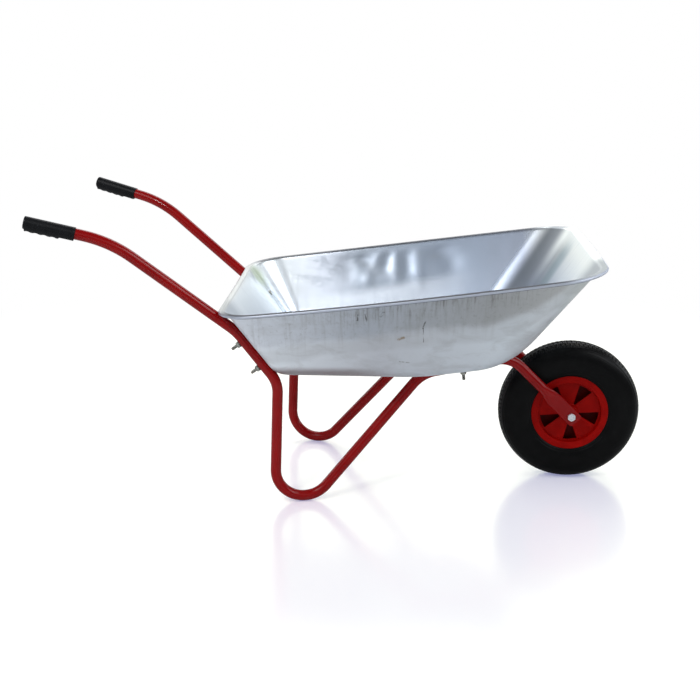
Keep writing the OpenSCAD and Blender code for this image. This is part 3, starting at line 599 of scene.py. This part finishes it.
def frame_tube():
    """Rings from the pressed end at the axle, over the swage to the round tube, to the grip."""
    fork_dir = unit(FORK - AXLE)
    across = np.array((0.0, 1.0, 0.0))
    width = np.cross(across, fork_dir)
    half_w, half_t, reach, clip = 19.25, 1.5, 20, 4
    swage_from, swage, swage_steps = 55, 55, 24
    # (distance from the axle, flatness, half width, half thickness)
    rows = [(depth - reach, 1.0, half_w - clip + trim, t)
            for depth, t, trim in ((2.0, 0.2, -2.4), (0.0, 0.2, -2.2), (0.0, half_t - 0.35, -0.3))]
    rows += [(d - reach, 1.0, half_w - max(0, clip - d), half_t)
             for d in (0.35, 1.2, 2.4, clip - 0.4, clip, clip + 0.5)]
    rows += [(s, 1.0, half_w, half_t) for s in (0, 20, 38, 50)]
    for k in range(swage_steps + 1):
        s = k / swage_steps
        rows.append((swage_from + swage * s, 1 - smooth(s), half_w, half_t))
    rings = []
    for s, flat, w, t in rows:
        centre = AXLE + fork_dir * s
        rings.append([centre + width * x + across * y for x, y in tube_ring(flat, w, t)])
    u = width
    section = tube_ring(0, half_w, half_t)
    for p, tangent in tube_line():
        u = unit(u - (u @ tangent) * tangent)
        v = np.cross(tangent, u)
        rings.append([p + u * x + v * y for x, y in section])
    # the open end inside the grip
    thin, bore_depth = (TUBE_R - WALL) / TUBE_R, 12
    for back in (0, bore_depth):
        rings.append([p - back * tangent + thin * (u * x + v * y) for x, y in section])
    steps = len(section)
    points = [p for ring in rings for p in ring]
    faces = grid(len(rings), steps, False, True)
    faces += [tuple(range(steps)), tuple(range(len(points) - 1, len(points) - 1 - steps, -1))]
    return Shape(points, faces, flip=True)


both("frame_tube", frame_tube(), "tube_paint", sharp=40)


# ---- grips
def grip():
    """A sleeve with finger grooves below; z runs from its closed end."""
    r, ridge, pitch, grooves, length, bore = 14.82, 5.0, 19.0, 4, 115.0, 13.05
    groove_r, groove_h, phase, run_out = 11.0, 2.0, 0.65, radians(35)
    end_r, mouth_r, cap, steps = 3, 0.6, 11.0, 96
    ridge_end = pitch * grooves + 4

    def depth(z):
        """How far the underside stands out below the grip's middle."""
        top = r + ridge
        if z > ridge_end:
            top = max(r, top - (z - ridge_end) / tan(run_out))
        for i in range(grooves):
            d = z - pitch * (i + phase)
            if abs(d) < groove_r:
                top = min(top, r + groove_h + groove_r - sqrt(groove_r ** 2 - d * d))
        return top

    def soft_depth(z):
        weights = (1, 3, 5, 6, 5, 3, 1)
        return sum(depth(z + 0.45 * k) * w for k, w in zip(range(-3, 4), weights)) / sum(weights)

    stations = [0, 0.12, 0.45, 0.9, 1.5, 2.2, 3] + list(np.arange(3.8, 100, 0.8))
    stations += [102, 106, 110, 113, 114, 114.6, 114.9, length]
    points = []
    for z in stations:
        inset = end_r - sqrt(max(0, end_r ** 2 - (end_r - z) ** 2)) if z < end_r else 0
        if z > length - mouth_r:
            inset = mouth_r - sqrt(max(0, mouth_r ** 2 - (z - length + mouth_r) ** 2))
        base = r - inset
        off = ridge * smooth((z - end_r) / 3)
        low = min(soft_depth(z) - inset, base + off)
        for k in range(steps):
            a = 2 * pi * k / steps
            c, s = cos(a), sin(a)
            rad = base
            if c > 0:
                shifted = off * c + sqrt(max(0, base * base - (off * s) ** 2))
                rad = max(base, min(shifted, low / c))
            points.append((rad * c, rad * s, z))
    points += circle(bore, length, steps) + circle(bore, length - cap, steps)
    faces = grid(len(stations) + 2, steps, False, True)
    faces += [((k + 1) % steps, k, len(points)) for k in range(steps)]
    points.append((0, 0, 0.0))
    put = aimed(GRIP, GRIP_DIR, (0, 0, -1))
    return Shape([put(p) for p in points], faces)


both("grip", grip(), sharp=50)


# ---- fasteners
def thread(r, pitch, z0, z1, depth, tip, steps=32):
    """Rows of a threaded rod from its chamfered tip at z0 to z1, where the thread runs out."""
    rows_per_pitch = 6
    count = round((z1 - z0) / pitch * rows_per_pitch)
    rows = []
    for i in range(count + 1):
        z = z0 + (z1 - z0) * i / count
        fade = smooth((z1 - z) / (2 * pitch))
        row = []
        for k in range(steps):
            phase = ((z - z0) / pitch - k / steps) % 1.0
            cut_in = depth * (0.5 + 0.5 * cos(2 * pi * phase)) ** 0.8
            rad = min(r - cut_in * fade, r - tip + (z - z0) * 1.2)
            row.append(polar(rad, 2 * pi * k / steps, z))
        rows.append(row)
    return rows


def bolt(put, r, pitch, z0, thread_to, z1, depth=0.55, tip=0.9, head=()):
    """A bolt from its tip at z0 to z1; head adds (radius, z) on top."""
    rows = thread(r, pitch, z0, thread_to, depth, tip)
    steps = len(rows[0])
    rows += [circle(rad, z, steps) for rad, z in [(r, z1), *head]]
    points = [put(p) for row in rows for p in row]
    faces = grid(len(rows), steps, False, True)
    tip_at, top_at, top = len(points), len(points) + 1, len(points) - steps
    points += [put((0, 0, z0)), put((0, 0, rows[-1][0][2]))]
    faces += [((k + 1) % steps, k, tip_at) for k in range(steps)]
    faces += [(top + k, top + (k + 1) % steps, top_at) for k in range(steps)]
    return Shape(points, faces)


def hexagon(put, across, z0, z1, bore, chamfer_top=True):
    """A hexagonal nut, or a head where bore is 0, between z0 and z1 with turned corners."""
    steps, half = 96, across / 2
    flat = half * 0.96
    lead = 0.6 if bore else 0.0
    inner = bore or 0.001
    points = []
    for k in range(steps):
        a = 2 * pi * k / steps
        rad = half / cos((a + pi / 6) % (pi / 3) - pi / 6)
        drop = (rad - flat) * tan(radians(30))
        profile = ((inner, z0 + lead), (inner + lead, z0), (flat, z0), (rad, z0 + drop),
                   (rad, z1 - (drop if chamfer_top else 0.1)), (flat, z1), (flat * 0.55, z1),
                   (inner + lead, z1), (inner, z1 - lead))
        points += [put(polar(r, a, z)) for r, z in profile]
    return Shape(points, grid(steps, len(profile), True, True), flip=True)


def join(*shapes):
    made = Shape()
    for s in shapes:
        made.add(s.points, s.faces)
    return made


def bolt_places():
    """Stands for the tray's bolts, each with its Z out of the tube's centre line into the tray."""
    back_normal = (sin(BACK_TILT), 0, cos(BACK_TILT))
    tilt = atan(RAIL_SLOPE)
    rail_normal = (-sin(tilt), 0, cos(tilt))
    left = (0, 1, 0)
    return [aimed(BACK + at * unit(LEG - BACK), back_normal, left) for at in (27.99, 102)] + [
        aimed(FORK + 129 * unit(RAIL - FORK), rail_normal, left)]


def dome(r, h, z, steps=12):
    """A bolt's round head, of radius r and height h on z."""
    ball = (r * r + h * h) / (2 * h)
    made = [(r - 0.25, z), (r, z + 0.25)]
    for k in range(1, steps):
        a = asin(r / ball) * (1 - k / steps)
        made.append((ball * sin(a), z + h - ball + ball * cos(a)))
    return made


head_seat = SEAT + SHEET
washer_end = -TUBE_R - 1.6
places = bolt_places()
bolts = join(*[bolt(put, 4, 1.25, head_seat - 50, head_seat - 26, head_seat,
                    head=dome(8.48, 4, head_seat)) for put in places])
washers = join(*[collar(4.3, 8, washer_end, -TUBE_R, 0.1, 0.3, put, 48) for put in places])
nuts = join(*[hexagon(put, 13, washer_end - 6.4, washer_end, 3.6) for put in places])
both("tray_bolts", bolts, "fastener_zinc", "tray_bolt_set", sharp=40)
both("tray_washers", washers, "fastener_zinc", "tray_washer_set")
both("tray_nuts", nuts, "fastener_zinc", "tray_nut_set", sharp=22)

# the axle's stack, from the wheel's middle to the left; only the bolt's head is on the right
tube_in, tube_out = FORK_Y - 1.5, FORK_Y + 1.5
nut_from = tube_out + 2.5
nut_to = nut_from + 10.8
tip, hub_end = nut_to + 4, 52.3
axle = bolt(lambda p: on_axle((p[0], -p[1], -p[2])), 6, 1.75, -tip, -tip + 40, tube_out,
            depth=0.75, tip=1.3)
head = hexagon(on_axle, 18, -tube_out - 7.5, -tube_out, 0, chamfer_top=False)
piece("axle_bolt", join(axle, head), "axle_zinc", sharp=22)
piece("axle_washer", collar(6.3, 12, tube_out, nut_from, 0.1, 0.4, on_axle), "fastener_zinc")
piece("axle_nut", hexagon(on_axle, 18, nut_from, nut_to, 5.5), "fastener_zinc", sharp=22)
piece("axle_sleeve", collar(6.3, 8.5, -tube_in, tube_in, 0.2, 0.3, on_axle), "sleeve_steel")
both("spacer", collar(8.55, 12, hub_end, tube_in, 0.2, 0.6, on_axle))
bush = [(8.55, 32, 0.2), (11.95, 32, 0.3), (11.95, 50, 0), (15, 50, 0.2), (15, 52, 0.6),
        (8.55, 52, 0.3)]
both("hub_bush", lathe(fillet(bush), on_axle), body="wheel")


# ---- wheel rim
WINDOWS, WINDOW_AT, WEB_Z = 5, 14, 25.5  # how many, the first one's angle, the webs' distance out


def wheel_rim():
    """Rim and hub, each from one half of its section: (radius, distance from the middle, edge)."""
    rim = [(86, 32.6, 1.0), (94.5, 32.8, 1.6), (98, 35.6, 1.6), (97.4, 37.4, 1.6), (88, 37.5, 4),
           (80.2, 36.9, 1.6), (79, 31, 0), (78.6, 27.4, 1.4), (76.5, 25.5, 0.2), (79, 23.4, 0.5),
           (82, 22, 1), (82, 1, 0)]
    hub = [(12, 49.2, 0.4), (12.8, 50, 0.4), (18.6, 50, 1.0), (20, 48.4, 0.6), (20.6, 29.2, 1.2),
           (22.4, 27.45, 0.8), (22.4, 23.6, 0.5), (20.4, 21.6, 1), (20, 4, 1.2), (22, 2.1, 0.5),
           (84, 2.0, 0)]
    return join(*[lathe(fillet(half + [(r, -z, edge) for r, z, edge in half[::-1]], steps=4),
                        on_axle, 144) for half in (rim, hub)])


def window_outline(turn):
    """A wedge window with rounded corners, in the web's plane."""
    r_in, r_out, half, r_small, r_big = 21.4, 75.4, 2.4, 1.2, 2.4
    tip = atan2(half + (r_out - r_in) * tan(radians(18.7)), r_out)
    arc = [(r_out * cos(tip * t), r_out * sin(tip * t)) for t in np.linspace(-0.93, 0.93, 13)]
    corners = [(r_in, -half, r_small), (*arc[0], r_big)]
    corners += [(x, y, 0) for x, y in arc[1:-1]]
    corners += [(*arc[-1], r_big), (r_in, half, r_small)]
    c, s = cos(turn), sin(turn)
    return [(x * c - y * s, x * s + y * c, 0) for x, y in fillet(corners, steps=4)]


def web():
    """One windowed web as a bevelled plate, centred on z = 0."""
    flat = bpy.data.curves.new("web", "CURVE")
    flat.dimensions, flat.fill_mode = "2D", "BOTH"
    flat.extrude, flat.bevel_depth, flat.bevel_resolution = 1.5, 0.5, 2
    loops = [circle(80, 0, 144), circle(18.5, 0, 144)[::-1]]
    loops += [window_outline(radians(WINDOW_AT + 360 / WINDOWS * k)) for k in range(WINDOWS)]
    for loop in loops:
        spline = flat.splines.new("POLY")
        spline.points.add(len(loop) - 1)
        for point, place in zip(spline.points, loop):
            point.co = (*place, 1)
        spline.use_cyclic_u = True
    shown = bpy.data.objects.new("web", flat)
    scene.collection.objects.link(shown)
    graph = bpy.context.evaluated_depsgraph_get()
    mesh = bpy.data.meshes.new_from_object(shown.evaluated_get(graph))
    points = [tuple(v.co) for v in mesh.vertices]
    faces = [tuple(p.vertices) for p in mesh.polygons]
    bpy.data.objects.remove(shown)
    bpy.data.curves.remove(flat)
    bpy.data.meshes.remove(mesh)
    return points, faces


rim = wheel_rim()
points, faces = web()
for side in (-1, 1):
    rim.add([on_axle((x, y, z + side * WEB_Z)) for x, y, z in points], faces)
piece("wheel_rim", rim, body="wheel", sharp=35)


# ---- tyre
WIDEST, FLANK = TYRE_R - 0.49 * TYRE_W, 99.0  # radii of the section's widest place and of its foot


def arch_point(a):
    """A point (radius, z) of the tyre's section at angle a, 90 degrees at the crown."""
    power = 2.5
    c, s = cos(a), sin(a)
    up = TYRE_R - WIDEST if s > 0 else 1.5 * (WIDEST - FLANK)
    return (WIDEST + copysign(up * abs(s) ** (2 / power), s),
            copysign(TYRE_W / 2 * abs(c) ** (2 / power), c))


def tyre():
    """Flanks with moulded ribs, and a tread of blocks cut by grooves round it and across it."""
    lowest = asin(((WIDEST - FLANK) / (1.5 * (WIDEST - FLANK))) ** 1.25)
    cols, pitches, shoulder, sunk_by, skin, relief = 300, 96, 27.5, 2.6, 0.9, 0.6
    # ribs on the flank: radius, half width, height
    ribs = ((150.5, 0.7, 0.45), (154, 0.7, 0.45), (157.5, 0.7, 0.45), (161, 0.7, 0.45),
            (105.5, 1.8, 0.9), (168.5, 1.2, 0.75), (173.5, 1.0, 0.7))
    profile = []
    for i in range(cols + 1):
        a = -lowest + (pi + 2 * lowest) * i / cols
        r, z = arch_point(a)
        r2, z2 = arch_point(a + 0.001)
        out = unit((z2 - z, -(r2 - r)))
        rise = sum(tall * max(0.0, 1 - ((r - at) / wide) ** 2) ** 2 for at, wide, tall in ribs)
        lift = rise - skin if r > 101 else -skin * smooth((r - FLANK) / 2)
        profile.append((r, z, relief * lift, out))
    inner_wall = ((86.1, -33.4), (86.1, -25.4), (100, -31.5), (171.6, 0), (100, 31.5), (86.1, 25.4),
                  (86.1, 33.4))
    per_pitch = (0.0, 0.08, 0.32, 0.40, 0.5, 0.58, 0.82, 0.90)
    points = []
    for p, q in product(range(pitches), per_pitch):
        turn = 2 * pi * (p + q) / pitches
        for r, z, lift, out in profile:
            lane, sunk = abs(z), 0.0
            if lane < shoulder and r > 165:
                # grooves round the tread, and slots across it that are staggered beyond them
                slot = 0.40 <= q <= 0.5 if lane > 15.5 else q >= 0.9 or q == 0.0
                if lane < 2.0 or 13.5 < lane < 15.5 or slot:
                    sunk = sunk_by * smooth((shoulder - lane) / 3)
                lift = 0.0
            points.append(on_axle(polar(r - sunk + out[0] * lift, turn, z + out[1] * lift)))
        points += [on_axle(polar(r, turn, z)) for r, z in inner_wall]
    return Shape(points, grid(pitches * len(per_pitch), len(profile) + len(inner_wall), True, True),
                 flip=True)


piece("tyre", tyre(), body="wheel", sharp=50)


# ---- valve
# in the middle of a window; z runs inwards, so the stem lies at negative z
turn = radians(WINDOW_AT - 360 / WINDOWS)
hub_middle = np.array(on_axle((0, 0, 0)))
valve_dir = np.array(on_axle((cos(turn), sin(turn), 0))) - hub_middle
put = aimed(on_axle((0, 0, 13.75)), -valve_dir, (0, 1, 0))
stem = bolt(lambda p: put((p[0], p[1], -p[2])), 3.87, 0.8, 48, 66, 68, depth=0.3, tip=0.4)
foot = [(0.01, -89, 0), (5.6, -89, 0.3), (5.6, -70, 1.2), (4.4, -68, 0.5), (0.01, -67.6, 0)]
stem = join(stem, lathe(fillet(foot), put, 48, closed=False))
piece("valve_stem", stem, body="wheel", sharp=40)
points, ribs = [], 24
for k in range(3 * ribs):
    rib = 0.28 if k % 3 == 0 else 0.0
    for r, z in ((0.01, -46), (4.4, -46), (5.0 - rib, -46.8), (5.2 - rib, -48), (5.2 - rib, -58),
                 (5.1, -59), (5.1, -60), (3.95, -60), (3.95, -50)):
        points.append(put(polar(r, 2 * pi * k / (3 * ribs), z)))
piece("valve_cap", Shape(points, grid(3 * ribs, 9, True, False)), body="wheel", sharp=30)


# ---- tray
TRAY_LEN, REAR_W, FRONT_W, FLOOR_REAR_W, FLOOR_FRONT_W = 893.0, 660.0, 672.0, 524.0, 438.0
SIDE_BOW, FRONT_BOW, REAR_BOW, SAG = 17.7, 7.0, 3.0, 3.0
BEAD, INSET = 4.0, 11.0
CURL = BEAD - SHEET  # the bead's inner radius
FLOOR_DROP = 9  # the floor's fall from the rear wall to its lowest place
ENDS, CORNERS, SIDES = 14, 24, 110  # steps round the rim
FLOOR_STEPS, BLEND, WALLS, BRIM, ROLL = 10, 14, 36, 5, 18  # steps from the middle out to the bead


def rail_seat(x):
    return RAIL[2] + (x - RAIL[0]) * RAIL_SLOPE + SEAT / cos(atan(RAIL_SLOPE))


def back_seat(z):
    return BACK[0] + SEAT / sin(BACK_TILT) - (z - BACK[2]) / tan(BACK_TILT)


REAR_Z, FRONT_Z = RAIL[2] + 181, FORK[2] + 267
BRIM_X = back_seat(REAR_Z + CURL)
RIM_X = BRIM_X - INSET
FLOOR_LOW_X = RAIL[0] - 11
FLOOR_LOW_Z = rail_seat(FLOOR_LOW_X)
FLOOR_REAR_X, FLOOR_FRONT_X = back_seat(FLOOR_LOW_Z + FLOOR_DROP), FORK[0] + 4


def bow(x):
    """0 at the tray's ends and 1 in its middle."""
    u = 2 * (x - RIM_X) / TRAY_LEN - 1
    return 1 - u * u


def rim_height(x):
    return REAR_Z + (FRONT_Z - REAR_Z) * (x - BRIM_X) / TRAY_LEN - SAG * (bow(x) - bow(BRIM_X))


def floor_height(x):
    """Along the rails in front and down from the rear wall, eased over blend either way."""
    u, blend = x - FLOOR_LOW_X, 44.0
    rear = -FLOOR_DROP / (FLOOR_LOW_X - FLOOR_REAR_X)
    if u > blend:
        return rail_seat(x)
    if u < -blend:
        return FLOOR_LOW_Z + rear * u
    return FLOOR_LOW_Z + rear * u + (RAIL_SLOPE - rear) * (u + blend) ** 2 / (4 * blend)


def outline(x_rear, x_front, w, r_rear, r_front):
    """(x, y, direction outwards) round a rectangle with rounded corners, from the front middle."""
    made = [(x_front, (w - r_front) * i / ENDS, 0.0) for i in range(ENDS)]
    for i in range(CORNERS + 1):
        a = pi / 2 * i / CORNERS
        made.append((x_front - r_front * (1 - cos(a)), w - r_front * (1 - sin(a)), a))
    for i in range(1, SIDES):
        s = i / SIDES
        made.append(((x_front - r_front) * (1 - s) + (x_rear + r_rear) * s, w, pi / 2))
    for i in range(CORNERS + 1):
        a = pi / 2 * (1 + i / CORNERS)
        made.append((x_rear + r_rear * (1 + cos(a)), w - r_rear * (1 - sin(a)), a))
    made += [(x_rear, (w - r_rear) * (1 - i / ENDS), pi) for i in range(1, ENDS + 1)]
    return made + [(x, -y, -a) for x, y, a in made[-2:0:-1]]


def rim_outline(inset, bowed):
    w = (REAR_W + FRONT_W) / 4 - inset
    r_rear, r_front = 90 - inset, 102 - inset
    made = []
    for x, y, a in outline(RIM_X + inset, RIM_X + TRAY_LEN - inset, w, r_rear, r_front):
        u = (x - RIM_X) / TRAY_LEN
        half = REAR_W / 2 * (1 - u) + FRONT_W / 2 * u + SIDE_BOW * bow(x) - inset
        push = abs(2 * u - 1) ** 3 * (1 - (y / w) ** 2) * bowed
        made.append((x + (FRONT_BOW if u > 0.5 else REAR_BOW) * push, y * half / w, a))
    return made


def floor_outline(x_rear, x_front, inset, r_rear, r_front):
    w = (FLOOR_REAR_W + FLOOR_FRONT_W) / 4 - inset
    made = []
    for x, y, a in outline(x_rear, x_front, w, r_rear, r_front):
        u = (x - FLOOR_REAR_X) / (FLOOR_FRONT_X - FLOOR_REAR_X)
        half = FLOOR_REAR_W / 2 * (1 - u) + FLOOR_FRONT_W / 2 * u - inset
        made.append((x, y * half / w, a))
    return made


SIDE_BLEND, FRONT_BLEND, REAR_BLEND = 43, 93, 30  # how far the floor's bend reaches inwards and up


def tray_section(bead, top, foot, flat):
    """From the floor's middle out to the bead, along the sheet's underside."""
    edge = np.array((foot[0], foot[1], floor_height(foot[0])))
    brim = np.array((top[0], top[1], rim_height(top[0]) + CURL))
    inner = np.array((flat[0], flat[1], floor_height(flat[0])))
    wall = unit(brim - edge)
    ahead = cos(foot[2])
    end_blend = FRONT_BLEND if ahead > 0 else REAR_BLEND
    outer = edge + (SIDE_BLEND + (end_blend - SIDE_BLEND) * ahead * ahead) * wall
    made = []
    for k in range(FLOOR_STEPS):
        s = k / FLOOR_STEPS
        x = FLOOR_LOW_X + (flat[0] - FLOOR_LOW_X) * s
        made.append(np.array((x, flat[1] * s, floor_height(x))))
    made += curve(inner, edge, outer, BLEND)
    turn_in = brim - 5 * wall
    for k in range(1, WALLS):
        made.append(outer + (turn_in - outer) * k / WALLS)
    curl = np.array((bead[0], bead[1], rim_height(bead[0])))
    top_of = curl + (0, 0, CURL)
    turn_out = brim + 4 * unit(top_of - brim)
    made += curve(turn_in, brim, turn_out, BRIM)
    made.append((turn_out + top_of) / 2)
    out = np.array((cos(bead[2]), sin(bead[2]), 0))
    for k in range(ROLL + 1):
        a = radians(280) * k / ROLL
        made.append(curl + CURL * (sin(a) * out + cos(a) * np.array((0, 0, 1))))
    return made


# knocks in the left wall: a ridge or hollow from one (x, height) to another, half-width, depth out
KNOCKS = ((-494, 516, -530, 446, 15, -0.65), (-449, 514, -449, 450, 15, -0.5),
          (-388, 520, -386, 446, 17, -0.45), (-545, 500, -515, 478, 20, 1.3),
          (-478, 505, -482, 480, 17, 1.1), (-424, 505, -420, 478, 19, 1.0),
          (-590, 500, -585, 470, 26, 1.0), (-325, 528, -300, 500, 30, 1.2))


def dent(below):
    """Push the left wall in and out where it has been knocked."""
    for x1, z1, x2, z2, wide, depth in KNOCKS:
        run = np.array((x2 - x1, z2 - z1), float)
        gap = below[..., [0, 2]] - (x1, z1)
        share = np.clip(gap @ run / (run @ run), 0, 1)
        off = norm(gap - share[..., None] * run, axis=-1)
        on_wall = np.clip((rim_height(below[..., 0]) - 8 - below[..., 2]) / 14, 0, 1)
        push = depth * np.exp(-(off / wide) ** 2) * (below[..., 1] > 150) * on_wall
        below[..., 1] += push
        below[..., 2] -= 0.35 * push


def tray():
    """The sheet's shape, and each face corner's metres (along the rim, down from the bead)."""
    bead, top = rim_outline(0, 1), rim_outline(INSET, 0)
    foot = floor_outline(FLOOR_REAR_X, FLOOR_FRONT_X, 0, 24, 100)
    flat = floor_outline(FLOOR_REAR_X + REAR_BLEND, FLOOR_FRONT_X - FRONT_BLEND, SIDE_BLEND, 6, 12)
    below = np.array([tray_section(*s) for s in zip(bead, top, foot, flat)])
    m, n = below.shape[:2]
    dent(below)
    along, down = np.zeros((m + 1, n)), np.zeros((m, n))
    step = norm(np.roll(below, -1, 0) - below, axis=2)
    along[1:] = np.cumsum(np.repeat(step[:, n - ROLL - 6: n - ROLL - 5], n, 1), 0)
    gaps = norm(np.diff(below, axis=1), axis=2)
    down[:, :-1] = np.cumsum(gaps[:, ::-1], 1)[:, ::-1]
    outward = np.empty_like(below)
    outward[:, 1:-1] = below[:, 2:] - below[:, :-2]
    outward[:, 0], outward[:, -1] = below[:, 1] - below[:, 0], below[:, -1] - below[:, -2]
    normal = np.cross(outward, np.roll(below, -1, 0) - np.roll(below, 1, 0))
    normal[:, 0] = (0, 0, 1)
    normal /= norm(normal, axis=2)[:, :, None]
    above = below + SHEET * normal
    points = [below[0, 0], above[0, 0]]
    points += [*below[:, 1:].reshape(-1, 3), *above[:, 1:].reshape(-1, 3)]
    count = m * (n - 1)

    def lo(j, i):
        return 0 if i == 0 else 2 + j % m * (n - 1) + i - 1

    def hi(j, i):
        return 1 if i == 0 else lo(j, i) + count

    faces, uv = [], []

    def face(fn, cells):
        faces.append(tuple(fn(j, i) for j, i in cells))
        uv.extend((along[j, i] * MM, down[j % m, i] * MM) for j, i in cells)

    for j in range(m):
        for i in range(n - 1):
            cell = [(j, i), (j, i + 1), (j + 1, i + 1), (j + 1, i)][:4 if i else 3]
            face(lo, cell[::-1])
            face(hi, cell)
        faces.append((lo(j, n - 1), lo(j + 1, n - 1), hi(j + 1, n - 1), hi(j, n - 1)))
        uv.extend((along[k, n - 1] * MM, 0.0) for k in (j, j + 1, j + 1, j))
    return Shape(points, faces), uv


shape, wall_places = tray()
pan = piece("tray", shape, "tray_steel", sharp=45, name="tray_pan")
layer = pan.data.uv_layers.new(name="wall")
for loop, place in zip(layer.data, wall_places):
    loop.uv = place

# the inner tube, out of sight, keeps its CAD shape
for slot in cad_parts["inner_tube"].material_slots:
    slot.material = MATERIAL["inner_tube"]


# ---- studio
def floor_material():
    """White sweep: lamps leave bluish shadows on it, and it fades into the white background."""
    n = Nodes("studio_floor")
    seen = n.node("BsdfDiffuse", {"Color": (0.82, 0.79, 0.64, 1)})
    lift = n.node("Emission", {"Color": (0.25, 0.265, 0.435, 1)})
    polish = n.node("BsdfGlossy", {"Color": (0.35, 0.355, 0.215, 1), "Roughness": 0.2})
    white = n.node("Emission", {"Color": (1, 1, 1, 1)})
    lit = n.node("BsdfDiffuse", {"Color": (0.86, 0.87, 0.88, 1)})
    near_part = n.near(n.place(), (0.0, 0.0, 0.0), 1.1, 2.2)
    shown = n.join(white, n.join(n.join(seen, lift), polish), near_part)
    return n.end(n.join(lit, shown, n.node("LightPath").outputs["Is Camera Ray"]))


bpy.ops.mesh.primitive_plane_add(size=60, location=(0, 0, -0.0005))
floor = bpy.context.object
floor.name = "studio_floor"
floor.data.materials.append(floor_material())


def studio_world():
    """White to the camera; a dim room with soft boxes, and white behind, to reflections."""
    n = Nodes("studio", world=True)
    x, y, z = n.split(n.node("TexCoord").outputs["Generated"])
    wide = n.sum("ABSOLUTE", x)
    level = n.add(
        0.2,
        # low down behind, over the camera, and two strips far out at the sides
        n.times(n.spread(y, -0.1, 0.35), n.spread(z, 0.6, 0.42), 0.8),
        n.times(n.spread(y, -0.4, -0.65), n.band(z, 0.2, 0.36, 0.62, 0.82),
                n.spread(wide, 0.08, 0.28, 0.36, 0.7)),
        n.times(n.spread(wide, 0.8, 0.87), n.band(y, 0.18, 0.26, 0.44, 0.52),
                n.band(z, 0.22, 0.3, 0.42, 0.5), 8.0),
        # a bright box on the right, a weak one on the left, and a strip on the left
        n.times(n.spread(x, 0.42, 0.62), n.band(y, -0.72, -0.5, -0.08, 0.08),
                n.band(z, 0.26, 0.42, 0.62, 0.8), 2.8),
        n.times(n.spread(x, -0.3, -0.5), n.spread(y, -0.3, -0.6),
                n.band(z, 0.2, 0.42, 0.6, 0.85), 0.22),
        n.times(n.spread(x, -0.5, -0.66), n.band(y, -0.06, 0.06, 0.14, 0.26),
                n.band(z, 0.24, 0.38, 0.62, 0.8), 0.5))
    shader = n.node("Background", {"Color": (0.93, 0.96, 1.0, 1), "Strength": 0.42})
    mirrored = n.node("Background", {"Color": (0.93, 0.96, 1.0, 1), "Strength": level})
    white = n.node("Background", {"Color": (1, 1, 1, 1)})
    path = n.node("LightPath").outputs
    shader = n.join(shader, mirrored, path["Is Glossy Ray"])
    shader = n.join(shader, white, path["Is Transmission Ray"])
    return n.end(n.join(shader, white, path["Is Camera Ray"]))


scene.world = studio_world()


def area(name, at, aim, size, power):
    data = bpy.data.lights.new(name, "AREA")
    data.shape, data.size, data.size_y = "RECTANGLE", size[0], size[1]
    data.energy = power
    made = bpy.data.objects.new(name, data)
    made.location = at
    made.rotation_euler = (Vector(aim) - Vector(at)).to_track_quat("-Z", "Y").to_euler()
    scene.collection.objects.link(made)


area("key", (-1.6, -1.9, 2.9), (0, 0, 0.3), (1.7, 1.7), 27)
area("spark", (-1.1, -2.3, 2.7), (0, 0, 0.3), (0.26, 0.26), 15)
area("fill", (2.4, -1.4, 2.6), (0, 0, 0.3), (1.3, 1.6), 18)
area("back", (0.3, 2.4, 2.8), (0, 0, 0.1), (3.0, 1.7), 46)

# ---- camera
yaw, pitch, roll = -0.0449, 0.2820, 0.0012
ahead = Vector((sin(yaw) * cos(pitch), cos(yaw) * cos(pitch), -sin(pitch)))
right = Vector((cos(yaw), -sin(yaw), 0))
up = right.cross(ahead)
camera = bpy.data.objects.new("camera", bpy.data.cameras.new("camera"))
scene.collection.objects.link(camera)
camera.matrix_world = (Matrix.Translation((0.11665, -2.85725, 1.15597))
                       @ Matrix((right, up, -ahead)).transposed().to_4x4()
                       @ Matrix.Rotation(roll, 4, "Z"))
camera.data.sensor_width = 36
camera.data.lens = 59.35
camera.data.shift_y = 0.0009
scene.camera = camera
scene.view_settings.view_transform = "Standard"
